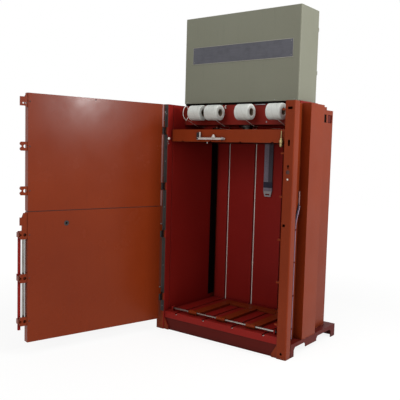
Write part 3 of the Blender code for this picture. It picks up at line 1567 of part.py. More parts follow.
def make_power_pack():
    """Oil tank with a filler cap, and the motor on its pump, under the top cover."""
    seat = TOP_LEVEL + FIT
    tank_left = COVER_LEFT + COVER_SHEET + TANK_SIDE_GAP
    tank_right = -BARREL_FLANGE_RADIUS - TANK_BARREL_GAP
    motor_x = (BARREL_FLANGE_RADIUS + COVER_RIGHT - COVER_SHEET) / 2
    outline = rounded(
        rectangle(
            tank_left, tank_right, MIDDLE_Y - TANK_DEPTH / 2, MIDDLE_Y + TANK_DEPTH / 2,
        ),
        TANK_CORNER,
    )
    tank = make_object("oil_tank", prism("Z", seat, seat + TANK_HEIGHT, outline), MACHINE_GREY)
    filler = rod(
        "Z", seat + TANK_HEIGHT / 2, seat + TANK_HEIGHT + FILLER_HEIGHT,
        (tank_left + tank_right) / 2, MIDDLE_Y, FILLER_RADIUS,
    )
    join(tank, [filler])
    pump_half = PUMP_SIZE / 2
    pump_top = seat + PUMP_HEIGHT
    pump = make_object(
        "pump",
        block(
            motor_x - pump_half, motor_x + pump_half,
            MIDDLE_Y - pump_half, MIDDLE_Y + pump_half, seat, pump_top,
        ),
        MACHINE_GREY,
    )
    motor_low = pump_top + FIT
    motor = make_object(
        "pump_motor",
        rod(
            "Z", motor_low, motor_low + MOTOR_HEIGHT, motor_x, MIDDLE_Y,
            MOTOR_RADIUS - MOTOR_FIN, ROUND,
        ),
        MACHINE_GREY,
    )
    for index in range(MOTOR_FIN_COUNT):
        low = motor_low + MOTOR_HEIGHT * (index + 0.5) / (MOTOR_FIN_COUNT + 1)
        ring = rod(
            "Z", low, low + MOTOR_FIN / 2, motor_x, MIDDLE_Y, MOTOR_RADIUS, ROUND,
        )
        join(motor, [ring])


def make_conduit():
    """Steel conduit of the door switch, upright in the corner behind the right post."""
    y = POST_BACK + CONDUIT_RADIUS + FIT
    x = WALL_OUT + POST_WIDTH / 2
    conduit = make_object(
        "switch_conduit",
        rod("Z", CONDUIT_BOTTOM, CONDUIT_TOP, x, y, CONDUIT_RADIUS), STEEL,
    )
    smooth(conduit)


def build():
    make_base_frame()
    make_chamber_floor()
    make_left_post()
    make_right_post()
    for side, name in ((1, "right"), (-1, "left")):
        make_side_wall(name + "_side_wall", side)
        make_side_column(name + "_side_column", side)
        make_corner_post(name + "_corner_post", side)
    make_back_wall()
    make_back_ribs()
    make_crosshead()
    make_top_plate()
    make_top_cover()
    make_name_plate()
    platen = make_platen()
    bracket, stop = make_catch()
    join(platen, [stop])
    riders = [
        platen, bracket, make_beam_fitting(),
        *make_press(), *make_guide_shoes(), *make_lifting_strap(),
    ]
    for rider in riders:
        set_origin(rider, (0, MIDDLE_Y, PLATEN_BOTTOM))
    make_spools()
    make_tapes()
    make_doors()
    make_hinge_pins()
    make_door_switch()
    make_ejector()
    make_power_pack()
    make_conduit()


build()
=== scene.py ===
"""Looks of the recycling baler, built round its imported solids.

The file is laid out as an add-on and run as a script. Sizes and colours are
properties, each group of like pieces has its own operator, and main() runs them.
All lengths are in metres, in the space of the solids: X across the machine, Y from
the doors to the back wall, Z up from the floor.
"""

import json
import math

import bmesh
import bpy
from bpy.props import FloatProperty, FloatVectorProperty, IntProperty, PointerProperty
from mathutils import Matrix, Vector


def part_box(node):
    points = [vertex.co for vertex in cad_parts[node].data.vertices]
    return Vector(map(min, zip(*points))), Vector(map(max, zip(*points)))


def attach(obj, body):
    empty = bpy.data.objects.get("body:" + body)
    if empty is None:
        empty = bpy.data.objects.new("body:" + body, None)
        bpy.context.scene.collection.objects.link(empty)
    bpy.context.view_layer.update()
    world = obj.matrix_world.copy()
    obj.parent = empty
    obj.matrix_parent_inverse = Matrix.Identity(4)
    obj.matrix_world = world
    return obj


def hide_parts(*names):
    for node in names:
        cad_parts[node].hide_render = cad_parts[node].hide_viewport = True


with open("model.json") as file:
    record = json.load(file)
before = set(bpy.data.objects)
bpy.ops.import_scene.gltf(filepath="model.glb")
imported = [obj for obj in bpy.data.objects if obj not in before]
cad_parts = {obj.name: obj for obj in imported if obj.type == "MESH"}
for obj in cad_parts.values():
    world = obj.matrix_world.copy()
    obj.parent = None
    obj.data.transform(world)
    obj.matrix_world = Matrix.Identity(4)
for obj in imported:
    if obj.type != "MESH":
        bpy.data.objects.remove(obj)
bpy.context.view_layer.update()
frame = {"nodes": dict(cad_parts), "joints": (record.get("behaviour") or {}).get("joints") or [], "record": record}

bl_info = {
    "name": "Recycling baler looks",
    "version": (1, 0, 0),
    "blender": (4, 5, 0),
    "location": "3D View > Sidebar > Baler",
    "description": "Finishes the pieces of a recycling baler and sets its stage",
    "category": "Object",
}

NODES = frame["nodes"]
BODIES = frame["record"]["behaviour"]["bodies"]
BODY_OF = {node: body for body, nodes in BODIES.items() for node in nodes}
ACROSS, DEEP, UPRIGHT = Vector((1, 0, 0)), Vector((0, 1, 0)), Vector((0, 0, 1))

# Points closer than this become one
WELD_GAP = 0.00005

# Angles between faces: nearly flat, an edge to ease, and a break in the shading
FLAT_ANGLE = math.radians(1)
EDGE_ANGLE = math.radians(30)
SMOOTH_ANGLE = math.radians(40)

# Easing of thin strips and plates, and height of a flat screw head
THIN_EASE = 0.0004
FLAT_HEAD = 0.0009

# Half the chamber's width, thickness of the corner posts, and top of the dark corner strips that paint the shade
# in the rear corners
CHAMBER_HALF = 0.6
POST_PLATE = 0.0063
SHADE_STRIP_TOP = 1.90

# Lower ends of the hinge arms that the left post carries, and their height
ARM_LOWS = (0.2746, 0.8624, 1.3016, 1.8044)
ARM_HEIGHT = 0.06

# Planes of a door's own space: inner face, lock edge and the pan's start at the hinge
DOOR_FACE = 0.026
DOOR_FREE = 1.28
DOOR_PAN = 0.022

# Heights of the three claws over the lower edge of each door
CLAW_RISES = {"lower_door": (0.172, 0.517, 0.862), "upper_door": (0.160, 0.505, 0.850)}

# Flat screws on the hinge post: X, Z and radius
POST_SCREWS = (
    (-0.633, 2.005, 0.007), (-0.622, 1.990, 0.0055), (-0.620, 0.22, 0.004),
    (-0.620, 0.60, 0.004), (-0.620, 1.14, 0.004), (-0.620, 1.56, 0.004),
)

# Height of the middle of the lock post's round hole
POST_HOLE_Z = 1.512

# Path of the bent rod on the beam, seen from above, and its height
BEAM_RAIL = ((0.170, 0.202), (0.173, 0.199), (0.267, 0.199), (0.270, 0.202))
BEAM_RAIL_Z = 2.069

# Radius of the bolt circle on the press barrel's flange, and the flange's top
BARREL_CIRCLE = 0.1
BARREL_FLANGE_Z = 2.1203

# Radius of the bore of a spool's core
CORE_BORE = 0.027

# Each lamp: its place, the point that it shines at, and its width
LAMPS = {
    "side": ((2.7, 0.45, 3.5), (-0.6, -0.4, 1.3), 1.0),
    "glint": ((4.05, 0.30, 2.50), (-0.7, -0.6, 1.9), 0.34),
    "front": ((0.6, -5.6, 3.6), (0.0, 0.0, 1.2), 3.2),
    "top": ((0.4, -1.0, 5.6), (0.0, 0.0, 1.0), 3.0),
}


def numbered(stem, count):
    """Names of like nodes, from stem_1 on."""
    return tuple("%s_%d" % (stem, number) for number in range(1, count + 1))


RIB_NODES = numbered("back_rib", 3)
HOLDER_NODES = numbered("spool_holder", 4)
SPOOL_NODES = numbered("tape_spool", 4)
TAPE_NODES = numbered("tape", 4)
PIN_NODES = numbered("lower_door_pin", 2) + numbered("upper_door_pin", 2)
DOOR_NODES = ("upper_door", "lower_door")
PAINTED_NODES = (
    "left_post", "right_post", "left_side_column", "right_side_column",
    "left_corner_post", "right_corner_post", *RIB_NODES, "strap_hanger", "ejector_frame",
)
INNER_NODES = ("chamber_floor", "left_side_wall", "right_side_wall", "back_wall", "top_plate")
BLACK_NODES = ("left_guide_shoe", "right_guide_shoe", "catch_bracket", *HOLDER_NODES)
# Press pieces whose steel is darkened as painted shade
SHADED_PRESS_NODES = ("piston_rod", "press_piston", "barrel_gland")
POWER_NODES = ("oil_tank", "pump", "pump_motor", "press_barrel")

# The way in which each wall's outside faces, which has the frame's paint
OUTWARD = {"left_side_wall": -ACROSS, "right_side_wall": ACROSS, "back_wall": DEEP}


def linear(colour):
    """A screen colour as the linear colour with alpha that a shader socket takes."""
    levels = []
    for level in colour:
        levels.append(level / 12.92 if level <= 0.04045 else ((level + 0.055) / 1.055) ** 2.4)
    return (*levels, 1.0)


def toned(colour, share, lift=0):
    """A screen colour made darker or lighter."""
    return [min(1, level * share + lift) for level in colour]


def colour_property(name, description, levels):
    """A colour, given in screen levels of 0 to 255."""
    return FloatVectorProperty(
        name=name, description=description, subtype="COLOR_GAMMA", size=3,
        min=0, max=1, default=[level / 255 for level in levels],
    )


def length_property(name, description, value):
    return FloatProperty(
        name=name, description=description, default=value, min=0,
        subtype="DISTANCE", unit="LENGTH",
    )


def angle_property(name, description, value):
    return FloatProperty(
        name=name, description=description, default=value, subtype="ANGLE", unit="ROTATION",
    )


def power_property(name, description, value):
    return FloatProperty(
        name=name, description=description, default=value, min=0, unit="POWER",
    )


class BalerColours(bpy.types.PropertyGroup):
    """Colours of the baler's finishes."""

    paint: colour_property("Paint", "Outside paint of the frame and doors", (136, 52, 19))
    paint_shade: colour_property("Paint shade", "Darker drift of the paint", (120, 42, 15))
    inner_paint: colour_property("Inner paint", "Paint inside the chamber", (150, 34, 28))
    inner_shade: colour_property("Inner shade", "Darker drift inside", (128, 24, 20))
    web_paint: colour_property("Beam paint", "Paint of the beam behind the spools", (138, 37, 27))
    web_shade: colour_property("Beam shade", "Darker drift of the beam's paint", (116, 28, 20))
    # Darker than the frame's paint as painted shade on the low base rails; also the clips, a slot's backing plate
    # and the rear rail's strip
    base_paint: colour_property("Base paint", "Paint of the low base rails", (98, 27, 20))
    base_shade: colour_property("Base shade", "Darker drift of the base rails", (78, 19, 15))
    # Painted shade: dark colour on the press plate's faces that look down
    underside_shade: colour_property("Greasy steel", "Underside of the press plate", (26, 16, 13))
    cover: colour_property("Cover", "Paint of the top cover", (128, 129, 113))
    cover_shade: colour_property("Cover shade", "Darker drift of the cover", (119, 119, 102))
    plate: colour_property("Plate", "Face of the bare name plate", (86, 86, 94))
    plate_rim: colour_property("Plate rim", "Frame round the name plate", (158, 156, 146))
    steel: colour_property("Steel", "Bright steel pieces", (178, 176, 170))
    zinc: colour_property("Zinc", "Zinc plated bolts, pins and conduit", (164, 166, 168))
    black: colour_property("Black", "Black coated brackets", (17, 16, 17))
    rubber: colour_property("Rubber", "Dark strip and seals", (44, 34, 30))
    # Dark rubber in the door seam, also the seam's painted shadow
    seam: colour_property("Seam", "Rubber between the doors", (52, 14, 9))
    # Pale rubber of the duct sleeve, and the painted highlight along the upper door's hinge edge
    pale_rubber: colour_property("Pale rubber", "Seal at the hinge edge", (140, 98, 94))
    cable: colour_property("Cable cover", "Plastic duct down the column", (30, 26, 50))
    cord: colour_property("Cable", "Thin cable beside the duct", (150, 122, 142))
    # Dark steel of the press rod, piston and gland: painted shade and dark reflections in their recess
    oiled: colour_property("Oiled steel", "Rod and gland of the press", (66, 58, 52))
    galvanised: colour_property("Galvanised", "Catch arm with its grip and stop", (214, 206, 200))
    brass: colour_property("Brass", "Fitting on the platen beam", (166, 150, 106))
    grey: colour_property("Grey", "Power pack under the cover", (112, 116, 118))
    tape: colour_property("Tape", "Wound baling tape", (222, 225, 219))
    # Painted shade in the grooves between the wound turns, and the soil colour on the flat tapes
    tape_shade_and_soil: colour_property("Tape shade", "Shaded turns of the tape", (182, 186, 180))
    cardboard: colour_property("Cardboard", "Core tube of a spool", (126, 106, 84))
    plug: colour_property("Plug", "Worn plugs in holes and dots on the doors", (70, 26, 18))
    # Lit and shaded halves of the lifting strap: painted light and painted shade
    webbing: colour_property("Webbing", "Lifting strap, lit half", (158, 150, 166))
    webbing_shade: colour_property("Webbing shade", "Lifting strap, other half", (84, 80, 92))
    webbing_band: colour_property("Webbing band", "Band at the strap's foot", (48, 42, 66))
    white: colour_property("White", "White plastic, and the cords of the tape", (240, 234, 226))
    primer: colour_property("Primer", "Primer that shows at worn edges", (96, 50, 40))
    floor: colour_property("Floor", "Floor of the stage", (240, 240, 238))


class BalerSizes(bpy.types.PropertyGroup):
    """Sizes of the pieces that are added to the solids."""

    eased_edge: length_property("Eased edge", "Rounding of cut and folded edges", 0.0016)
    cover_edge: length_property("Cover edge", "Rounding of the cover's hems", 0.0008)
    bolt: length_property("Bolt radius", "From the middle to a corner of a hexagon head", 0.0085)
    bolt_height: length_property("Bolt height", "Height of a hexagon head", 0.0055)
    washer: length_property("Washer radius", "Radius of a washer", 0.0105)
    washer_thickness: length_property("Washer thickness", "Thickness of a washer", 0.0015)
    screw: length_property("Screw radius", "Domed screws round the cover's hem", 0.0035)
    weld: length_property("Weld radius", "Half width of a weld bead", 0.0032)
    weld_pitch: length_property("Weld pitch", "Distance between ripples", 0.004)
    winding: length_property("Winding", "Height of the wound tape's ridges", 0.0009)
    winding_pitch: length_property("Winding pitch", "Width of one turn of tape", 0.0065)
    core_wall: length_property("Core wall", "Wall of a spool's cardboard core", 0.0045)
    seal: length_property("Seal", "Height of the rubber between the doors", 0.0052)
    strip: length_property("Strip", "Thickness of the rubber strip on the hinge post", 0.0008)
    wire: length_property("Wire", "Radius of the bent wire beside the spools", 0.0026)
    rim: length_property("Plate rim", "Width of the name plate's rim", 0.0055)
    louvre: length_property("Louvre", "Depth of the cover's rear louvres", 0.006)
    round_sides: IntProperty(
        name="Round sides", description="Sides of a large round piece", default=64, min=16,
    )
    small_sides: IntProperty(
        name="Small sides", description="Sides of a small round piece", default=24, min=8,
    )


class BalerStage(bpy.types.PropertyGroup):
    """Camera and light."""

    lens: FloatProperty(
        name="Lens", description="Focal length of the camera", default=53.63,
        min=1, subtype="DISTANCE_CAMERA", unit="CAMERA",
    )
    eye: FloatVectorProperty(
        name="Eye", description="Place of the camera", default=(2.930, -4.189, 1.657),
        subtype="TRANSLATION", unit="LENGTH",
    )
    heading: angle_property("Heading", "Turn of the view from +Y", -0.6482)
    pitch: angle_property("Pitch", "Tilt of the view below level", 0.0813)
    roll: angle_property("Roll", "Turn of the picture", 0.0276)
    ambient: FloatProperty(
        name="Ambient", description="Strength of the surrounding light", default=0.37, min=0,
    )
    side_power: power_property("Side lamp", "Lamp at the right that shines into the doors", 24)
    glint_power: power_property("Glint lamp", "Small lamp mirrored by the upper door", 66)
    front_power: power_property("Front lamp", "Wide lamp in front", 82)
    top_power: power_property("Top lamp", "Wide lamp overhead", 45)


def colours():
    return bpy.context.scene.baler_colours


def sizes():
    return bpy.context.scene.baler_sizes


def stage_sizes():
    return bpy.context.scene.baler_stage


# Finishes

class Recipe:
    """Builds one material's nodes with short calls."""

    def __init__(self, name):
        self.material = bpy.data.materials.new(name)
        self.material.use_nodes = True
        self.tree = self.material.node_tree
        self.shader = self.tree.nodes["Principled BSDF"]
        self.place = self.add("ShaderNodeTexCoord").outputs["Object"]

    def add(self, kind, **settings):
        node = self.tree.nodes.new(kind)
        for key, value in settings.items():
            setattr(node, key, value)
        return node

    def link(self, source, target):
        self.tree.links.new(source, target)

    def feed(self, socket, value):
        """Link a socket, or set it to a number or to a screen colour."""
        if isinstance(value, bpy.types.NodeSocket):
            self.link(value, socket)
        elif isinstance(value, (int, float)):
            socket.default_value = value
        else:
            socket.default_value = linear(value)

    def fill(self, node, **values):
        """Set several of a node's sockets to plain values."""
        for key, value in values.items():
            node.inputs[key.replace("_", " ")].default_value = value

    def set(self, **values):
        self.fill(self.shader, **values)

    def stretched(self, scale, turn=(0, 0, 0)):
        node = self.add("ShaderNodeMapping")
        self.link(self.place, node.inputs["Vector"])
        self.fill(node, Scale=scale, Rotation=turn)
        return node.outputs["Vector"]

    def noise(self, scale, detail=3, rough=0.5, vector=None):
        node = self.add("ShaderNodeTexNoise")
        self.link(vector or self.place, node.inputs["Vector"])
        self.fill(node, Scale=scale, Detail=detail, Roughness=rough)
        return node.outputs["Fac"]

    def wave(self, scale, direction, distortion, detail, profile="SIN", vector=None):
        node = self.add("ShaderNodeTexWave", bands_direction=direction, wave_profile=profile)
        self.link(vector or self.place, node.inputs["Vector"])
        self.fill(node, Scale=scale, Distortion=distortion, Detail=detail)
        return node.outputs["Fac"]

    def between(self, value, low, high, to_low=0, to_high=1):
        """Stretch a value's range from low to high over another range, clamped."""
        node = self.add("ShaderNodeMapRange")
        self.feed(node.inputs["Value"], value)
        self.fill(node, From_Min=low, From_Max=high, To_Min=to_low, To_Max=to_high)
        return node.outputs["Result"]

    def patches(self, noise, low, high, most=1):
        """Share that rises to its most where a noise goes from low to high."""
        return self.between(self.noise(*noise), low, high, 0, most)

    def combine(self, operation, first, second):
        node = self.add("ShaderNodeMath", operation=operation)
        self.feed(node.inputs[0], first)
        self.feed(node.inputs[1], second)
        return node.outputs[0]

    def product(self, first, second):
        return self.combine("MULTIPLY", first, second)

    def mix(self, share, first, second):
        node = self.add("ShaderNodeMix", data_type="RGBA", blend_type="MIX")
        self.feed(node.inputs["Factor"], share)
        self.feed(node.inputs["A"], first)
        self.feed(node.inputs["B"], second)
        return node.outputs["Result"]

    def bump(self, height, distance, strength, over=None):
        node = self.add("ShaderNodeBump")
        self.link(height, node.inputs["Height"])
        self.fill(node, Distance=distance, Strength=strength)
        if over:
            self.link(over, node.inputs["Normal"])
        return node.outputs["Normal"]

    def dirt_and_shade_in_corners(self, base, reach, most, dirt_and_shade_colour):
        """A colour darkened in corners by ambient occlusion: dirt and painted shade, which open faces don't have.
        """
        node = self.add("ShaderNodeAmbientOcclusion", samples=6)
        self.fill(node, Distance=reach)
        deep = self.between(node.outputs["AO"], 0.35, 0.95, 1, 0)
        return self.mix(self.product(deep, most), base, dirt_and_shade_colour)

    def worn_edge(self, radius):
        """Share that is 1 on an outside edge and 0 on open faces."""
        eased_over = self.add("ShaderNodeBevel", samples=4)
        self.fill(eased_over, Radius=radius)
        plain = self.add("ShaderNodeNewGeometry")
        dot = self.add("ShaderNodeVectorMath", operation="DOT_PRODUCT")
        self.link(eased_over.outputs["Normal"], dot.inputs[0])
        self.link(plain.outputs["Normal"], dot.inputs[1])
        return self.between(dot.outputs["Value"], 0.998, 0.93, 0, 1)

    def facing_down(self):
        """Share that is 1 on faces that look down in the object's own space."""
        split = self.add("ShaderNodeSeparateXYZ")
        self.link(self.add("ShaderNodeTexCoord").outputs["Normal"], split.inputs["Vector"])
        return self.between(split.outputs["Z"], -0.2, -0.8)

    def finish(self, colour, roughness, normal):
        self.feed(self.shader.inputs["Base Color"], colour)
        self.feed(self.shader.inputs["Roughness"], roughness)
        self.link(normal, self.shader.inputs["Normal"])
        return self.material


def painted(name, colour, shade, roughness, wear=0.5, scuffs=0.25, shine=0.25, under=None):
    """Sprayed paint on sheet: slow colour drift, orange peel, scuffs, worn edges, dirt with painted shade in
    corners, and painted shade on downward faces where asked.
    """
    recipe = Recipe(name)
    base = recipe.mix(recipe.patches((0.9, 3, 0.5), 0.3, 0.75), colour, shade)
    speck = recipe.patches((55, 5, 0.7), 0.56, 0.75, 0.3)
    base = recipe.mix(speck, base, toned(shade, 0.88))
    streak = recipe.patches((6, 4, 0.6, recipe.stretched((7, 7, 0.5))), 0.58, 0.8, 0.22)
    base = recipe.mix(streak, base, toned(shade, 0.8))
    slanted = recipe.stretched((1, 1, 26), (0.25, 0.1, 0))
    scratch = recipe.patches((9, 3, 0.65, slanted), 0.66, 0.70, scuffs)
    base = recipe.mix(scratch, base, toned(colour, 1.25, 0.03))
    # Where an underside colour is given, faces that look down take it as painted shade
    if under:
        base = recipe.mix(recipe.facing_down(), base, under)
    # Corners darken by occlusion: dirt and painted shade
    base = recipe.dirt_and_shade_in_corners(base, 0.05, 0.5, toned(shade, 0.4))
    chip = recipe.product(recipe.patches((38, 6, 0.75), 0.46, 0.62), wear)
    bare = recipe.product(recipe.worn_edge(0.004), chip)
    base = recipe.mix(bare, base, colours().primer)
    rough = recipe.between(recipe.noise(4, 5, 0.6), 0.3, 0.7, roughness - 0.04, roughness + 0.06)
    rough = recipe.combine("ADD", rough, recipe.product(scratch, 0.3))
    sheet = recipe.bump(recipe.noise(1.3, 1, 0.3), 0.006, 0.15)
    peel = recipe.bump(recipe.noise(420, 2, 0.5), 0.00012, 0.4, sheet)
    recipe.set(Specular_IOR_Level=shine)
    return recipe.finish(base, rough, peel)


def bare_metal(name, colour, roughness, grain=(1, 1, 1), metallic=1.0):
    """Drawn, turned or plated metal with fine grain, faint stains and small knocks."""
    recipe = Recipe(name)
    dull = toned(colour, 0.72)
    lines = recipe.noise(240, 3, 0.6, recipe.stretched(grain))
    stain = recipe.patches((14, 5, 0.65), 0.45, 0.72)
    base = recipe.mix(recipe.between(lines, 0.3, 0.7, 0, 0.45), colour, dull)
    base = recipe.mix(recipe.product(stain, 0.45), base, dull)
    # Corners darken by occlusion: dirt and painted shade
    base = recipe.dirt_and_shade_in_corners(base, 0.02, 0.6, toned(colour, 0.3))
    rough = recipe.between(lines, 0.3, 0.7, roughness - 0.06, roughness + 0.1)
    rough = recipe.combine("ADD", rough, recipe.product(stain, 0.14))
    recipe.set(Metallic=metallic)
    return recipe.finish(base, rough, recipe.bump(lines, 0.00008, 0.4))


def moulded(name, colour, roughness, worn, grain=700, shine=0.5):
    """Moulded plastic, rubber or black coating with a fine grain and rubbed places."""
    recipe = Recipe(name)
    rubbed = recipe.patches((22, 5, 0.7), 0.48, 0.72, worn)
    base = recipe.mix(rubbed, colour, toned(colour, 1.4, 0.06))
    # Corners darken by occlusion: dirt and painted shade
    base = recipe.dirt_and_shade_in_corners(base, 0.015, 0.5, toned(colour, 0.4))
    rough = recipe.between(recipe.noise(60, 4), 0.3, 0.7, roughness - 0.05, roughness + 0.1)
    recipe.set(Specular_IOR_Level=shine)
    return recipe.finish(base, rough, recipe.bump(recipe.noise(grain, 2), 0.0001, 0.5))


def wound_tape(name):
    """Tape wound crosswise on a spool: fine turns with painted shade in their grooves, darker slanted crossings,
    soft sheen.
    """
    recipe = Recipe(name)
    shade = colours().tape_shade_and_soil
    turns = recipe.wave(48, "X", 1.2, 3)
    cross = recipe.wave(11, "DIAGONAL", 2.5, 3, "SAW", recipe.stretched((1, 0.35, 0.35)))
    # The grooves between the turns take the shaded colour as painted shade; the crossings are darkened too
    base = recipe.mix(recipe.between(turns, 0.0, 0.5, 0.75, 0), colours().tape, shade)
    base = recipe.mix(recipe.between(cross, 0.0, 0.22, 0.4, 0), base, shade)
    base = recipe.mix(recipe.patches((16, 4, 0.6), 0.5, 0.75, 0.35), base, toned(shade, 0.86))
    fibre = recipe.noise(500, 2, 0.5, recipe.stretched((6, 1, 1)))
    normal = recipe.bump(fibre, 0.0002, 0.4, recipe.bump(turns, 0.0006, 0.5))
    return recipe.finish(base, recipe.between(cross, 0, 1, 0.38, 0.55), normal)


def flat_tape(name):
    """Woven baling tape: cords along it with cross threads."""
    recipe = Recipe(name)
    cords = recipe.wave(260, "X", 0.4, 1)
    threads = recipe.wave(120, "Z", 0.6, 1)
    cloth = recipe.product(cords, recipe.between(threads, 0, 1, 0.6, 1))
    base = recipe.mix(recipe.between(cloth, 0, 0.6, 0.5, 0), colours().white, colours().tape)
    soil = recipe.patches((5, 4, 0.6), 0.5, 0.8, 0.35)
    base = recipe.mix(soil, base, colours().tape_shade_and_soil)
    return recipe.finish(base, 0.6, recipe.bump(cloth, 0.0003, 0.6))


def cardboard(name):
    """Wound paper tube with a spiral seam and grey fibres."""
    recipe = Recipe(name)
    dark = toned(colours().cardboard, 0.68)
    fibre = recipe.noise(120, 5, 0.7, recipe.stretched((0.5, 1, 1)))
    base = recipe.mix(recipe.between(fibre, 0.35, 0.7, 0, 0.7), colours().cardboard, dark)
    ply = recipe.wave(90, "Y", 1.5, 2)
    base = recipe.mix(recipe.between(ply, 0, 0.2, 0.35, 0), base, dark)
    return recipe.finish(base, 0.85, recipe.bump(fibre, 0.0003, 0.5))


def webbing(name, colour, other):
    """Polyester webbing: a chevron weave in the piece's own UV, sheen and soiling, with a painted lit half and a
    painted shaded half.
    """
    recipe = Recipe(name)
    split = recipe.add("ShaderNodeSeparateXYZ")
    recipe.link(recipe.add("ShaderNodeUVMap", uv_map="weave").outputs["UV"], split.inputs[0])
    across, along = split.outputs["X"], split.outputs["Y"]
    chevron = recipe.combine("ADD", along, recipe.combine("PINGPONG", across, 0.011))
    ridge = recipe.between(recipe.combine("PINGPONG", chevron, 0.0022), 0, 0.0022)
    rib = recipe.between(recipe.combine("PINGPONG", across, 0.0014), 0, 0.0014)
    cloth = recipe.product(ridge, recipe.between(rib, 0, 1, 0.55, 1))
    # One half takes the lit colour and the other the shaded one: painted light and shade
    half = recipe.between(across, -0.003, 0.003)
    dark = recipe.mix(half, toned(colour, 0.55), toned(other, 0.55))
    base = recipe.mix(half, colour, other)
    base = recipe.mix(recipe.between(cloth, 0.05, 0.6, 0.8, 0), base, dark)
    base = recipe.mix(recipe.patches((9, 5, 0.65), 0.45, 0.72, 0.4), base, toned(colour, 0.5))
    recipe.set(Sheen_Weight=0.25, Sheen_Roughness=0.5)
    return recipe.finish(base, 0.82, recipe.bump(cloth, 0.0006, 0.8))


FINISHES = {}


def make_finishes():
    """Make every finish once, from the colours of the panel."""
    tint = colours()
    frame_paint = (tint.paint, tint.paint_shade)
    upright = (1, 1, 0.03)
    FINISHES.update(
        paint=painted("frame_paint", *frame_paint, 0.40, wear=0.55, scuffs=0.2, shine=0.12),
        door=painted("door_paint", *frame_paint, 0.24, scuffs=0.08, shine=0.14),
        # The press plate's paint, with painted shade on its underside
        platen=painted(
            "platen_paint", *frame_paint, 0.42, wear=0.6, scuffs=0.3, shine=0.12,
            under=tint.underside_shade,
        ),
        web=painted(
            "beam_paint", tint.web_paint, tint.web_shade, 0.44, wear=0.6, scuffs=0.2, shine=0.15,
        ),
        # The base rails' paint, darker as painted shade
        low=painted(
            "base_paint", tint.base_paint, tint.base_shade, 0.5, wear=0.7, scuffs=0.3, shine=0.1,
        ),
        inner=painted(
            "chamber_paint", tint.inner_paint, tint.inner_shade, 0.46, wear=0.7, scuffs=0.3,
            shine=0.12,
        ),
        cover=painted(
            "cover_paint", tint.cover, tint.cover_shade, 0.45, wear=0.25, scuffs=0.08, shine=0.35,
        ),
        rim=painted(
            "plate_rim", tint.plate_rim, tint.cover, 0.4, wear=0.2, scuffs=0.1, shine=0.35,
        ),
        grey=painted("machine_grey", tint.grey, toned(tint.grey, 0.85), 0.4),
        plate=bare_metal("plate_face", tint.plate, 0.4, (0.03, 1, 1), metallic=0.3),
        steel=bare_metal("drawn_steel", tint.steel, 0.24, upright),
        # Press steel darkened: painted shade and dark reflections in its recess
        oiled=bare_metal("oiled_steel", tint.oiled, 0.3, upright, metallic=0.6),
        pale_zinc=bare_metal("galvanised_plate", tint.galvanised, 0.5, metallic=0.2),
        zinc=bare_metal("zinc_plate", tint.zinc, 0.36),
        brass=bare_metal("dull_brass", tint.brass, 0.34),
        black=moulded("black_coating", tint.black, 0.45, worn=0.4, grain=900),
        plug=moulded("worn_plug", tint.plug, 0.5, worn=0.3, grain=500),
        rubber=moulded("dark_rubber", tint.rubber, 0.6, worn=0.3),
        # Near-black, dull finish of strips and plates put where shade falls: painted shade
        seal=moulded("corner_rubber", toned(tint.rubber, 0.35), 0.9, worn=0.1, shine=0.05),
        # The seam's rubber strip, also painted shadow in the seam
        seam=moulded("seam_rubber", tint.seam, 0.75, worn=0.1),
        # Pale rubber of the duct sleeve, also the painted highlight along the hinge edge
        pale=moulded("pale_rubber", tint.pale_rubber, 0.5, worn=0.2),
        cable=moulded("cable_cover", tint.cable, 0.4, worn=0.3),
        cord=moulded("cable_jacket", tint.cord, 0.45, worn=0.15),
        white=moulded("white_plastic", tint.white, 0.35, worn=0.15),
        wound=wound_tape("wound_tape"),
        tape=flat_tape("woven_tape"),
        core=cardboard("core_tube"),
        webbing=webbing("strap_webbing", tint.webbing, tint.webbing_shade),
        band=webbing("strap_band", tint.webbing_band, tint.webbing_band),
        base=webbing("strap_base", tint.webbing, tint.webbing),
    )


# Shapes

def placed(name, shape, finish, slot_name=None, body="frame", stands_for=()):
    """Turn a bmesh into a piece that rides on a body, with its faces turned as they are."""
    mesh = bpy.data.meshes.new(name)
    shape.to_mesh(mesh)
    shape.free()
    mesh.shade_smooth()
    mesh.set_sharp_from_angle(angle=SMOOTH_ANGLE)
    mesh.materials.append(FINISHES[finish])
    piece = bpy.data.objects.new(name, mesh)
    bpy.context.scene.collection.objects.link(piece)
    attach(piece, body)
    if stands_for:
        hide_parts(*stands_for)
    return piece


def shown(name, shape, finish, **settings):
    """A piece whose faces are first turned outward."""
    bmesh.ops.recalc_face_normals(shape, faces=shape.faces)
    return placed(name, shape, finish, **settings)


def merged_copy(node):
    """A node's mesh with its loose triangles joined and its flat faces made whole."""
    shape = bmesh.new()
    shape.from_mesh(NODES[node].data)
    bmesh.ops.remove_doubles(shape, verts=shape.verts, dist=WELD_GAP)
    bmesh.ops.dissolve_limit(
        shape, angle_limit=FLAT_ANGLE, use_dissolve_boundaries=False,
        verts=shape.verts, edges=shape.edges,
    )
    return shape


def eased(node, finish, width=None):
    """A copy of a node with its edges slightly rounded, so that they catch the light."""
    shape = merged_copy(node)
    edges = [
        edge for edge in shape.edges
        if edge.is_manifold and edge.calc_face_angle(0) > EDGE_ANGLE
    ]
    bmesh.ops.bevel(
        shape, geom=edges, offset=width or sizes().eased_edge, offset_type="OFFSET",
        segments=2, profile=0.5, affect="EDGES", clamp_overlap=True, material=-1,
    )
    piece = placed(node + "_eased", shape, finish, body=BODY_OF[node], stands_for=(node,))
    even = piece.modifiers.new("even", "WEIGHTED_NORMAL")
    even.keep_sharp = True
    return piece


def coat_faces(piece, finish, chosen):
    """Give the faces that a test picks one more finish."""
    piece.data.materials.append(FINISHES[finish])
    last = len(piece.data.materials) - 1
    for face in piece.data.polygons:
        if chosen(face):
            face.material_index = last


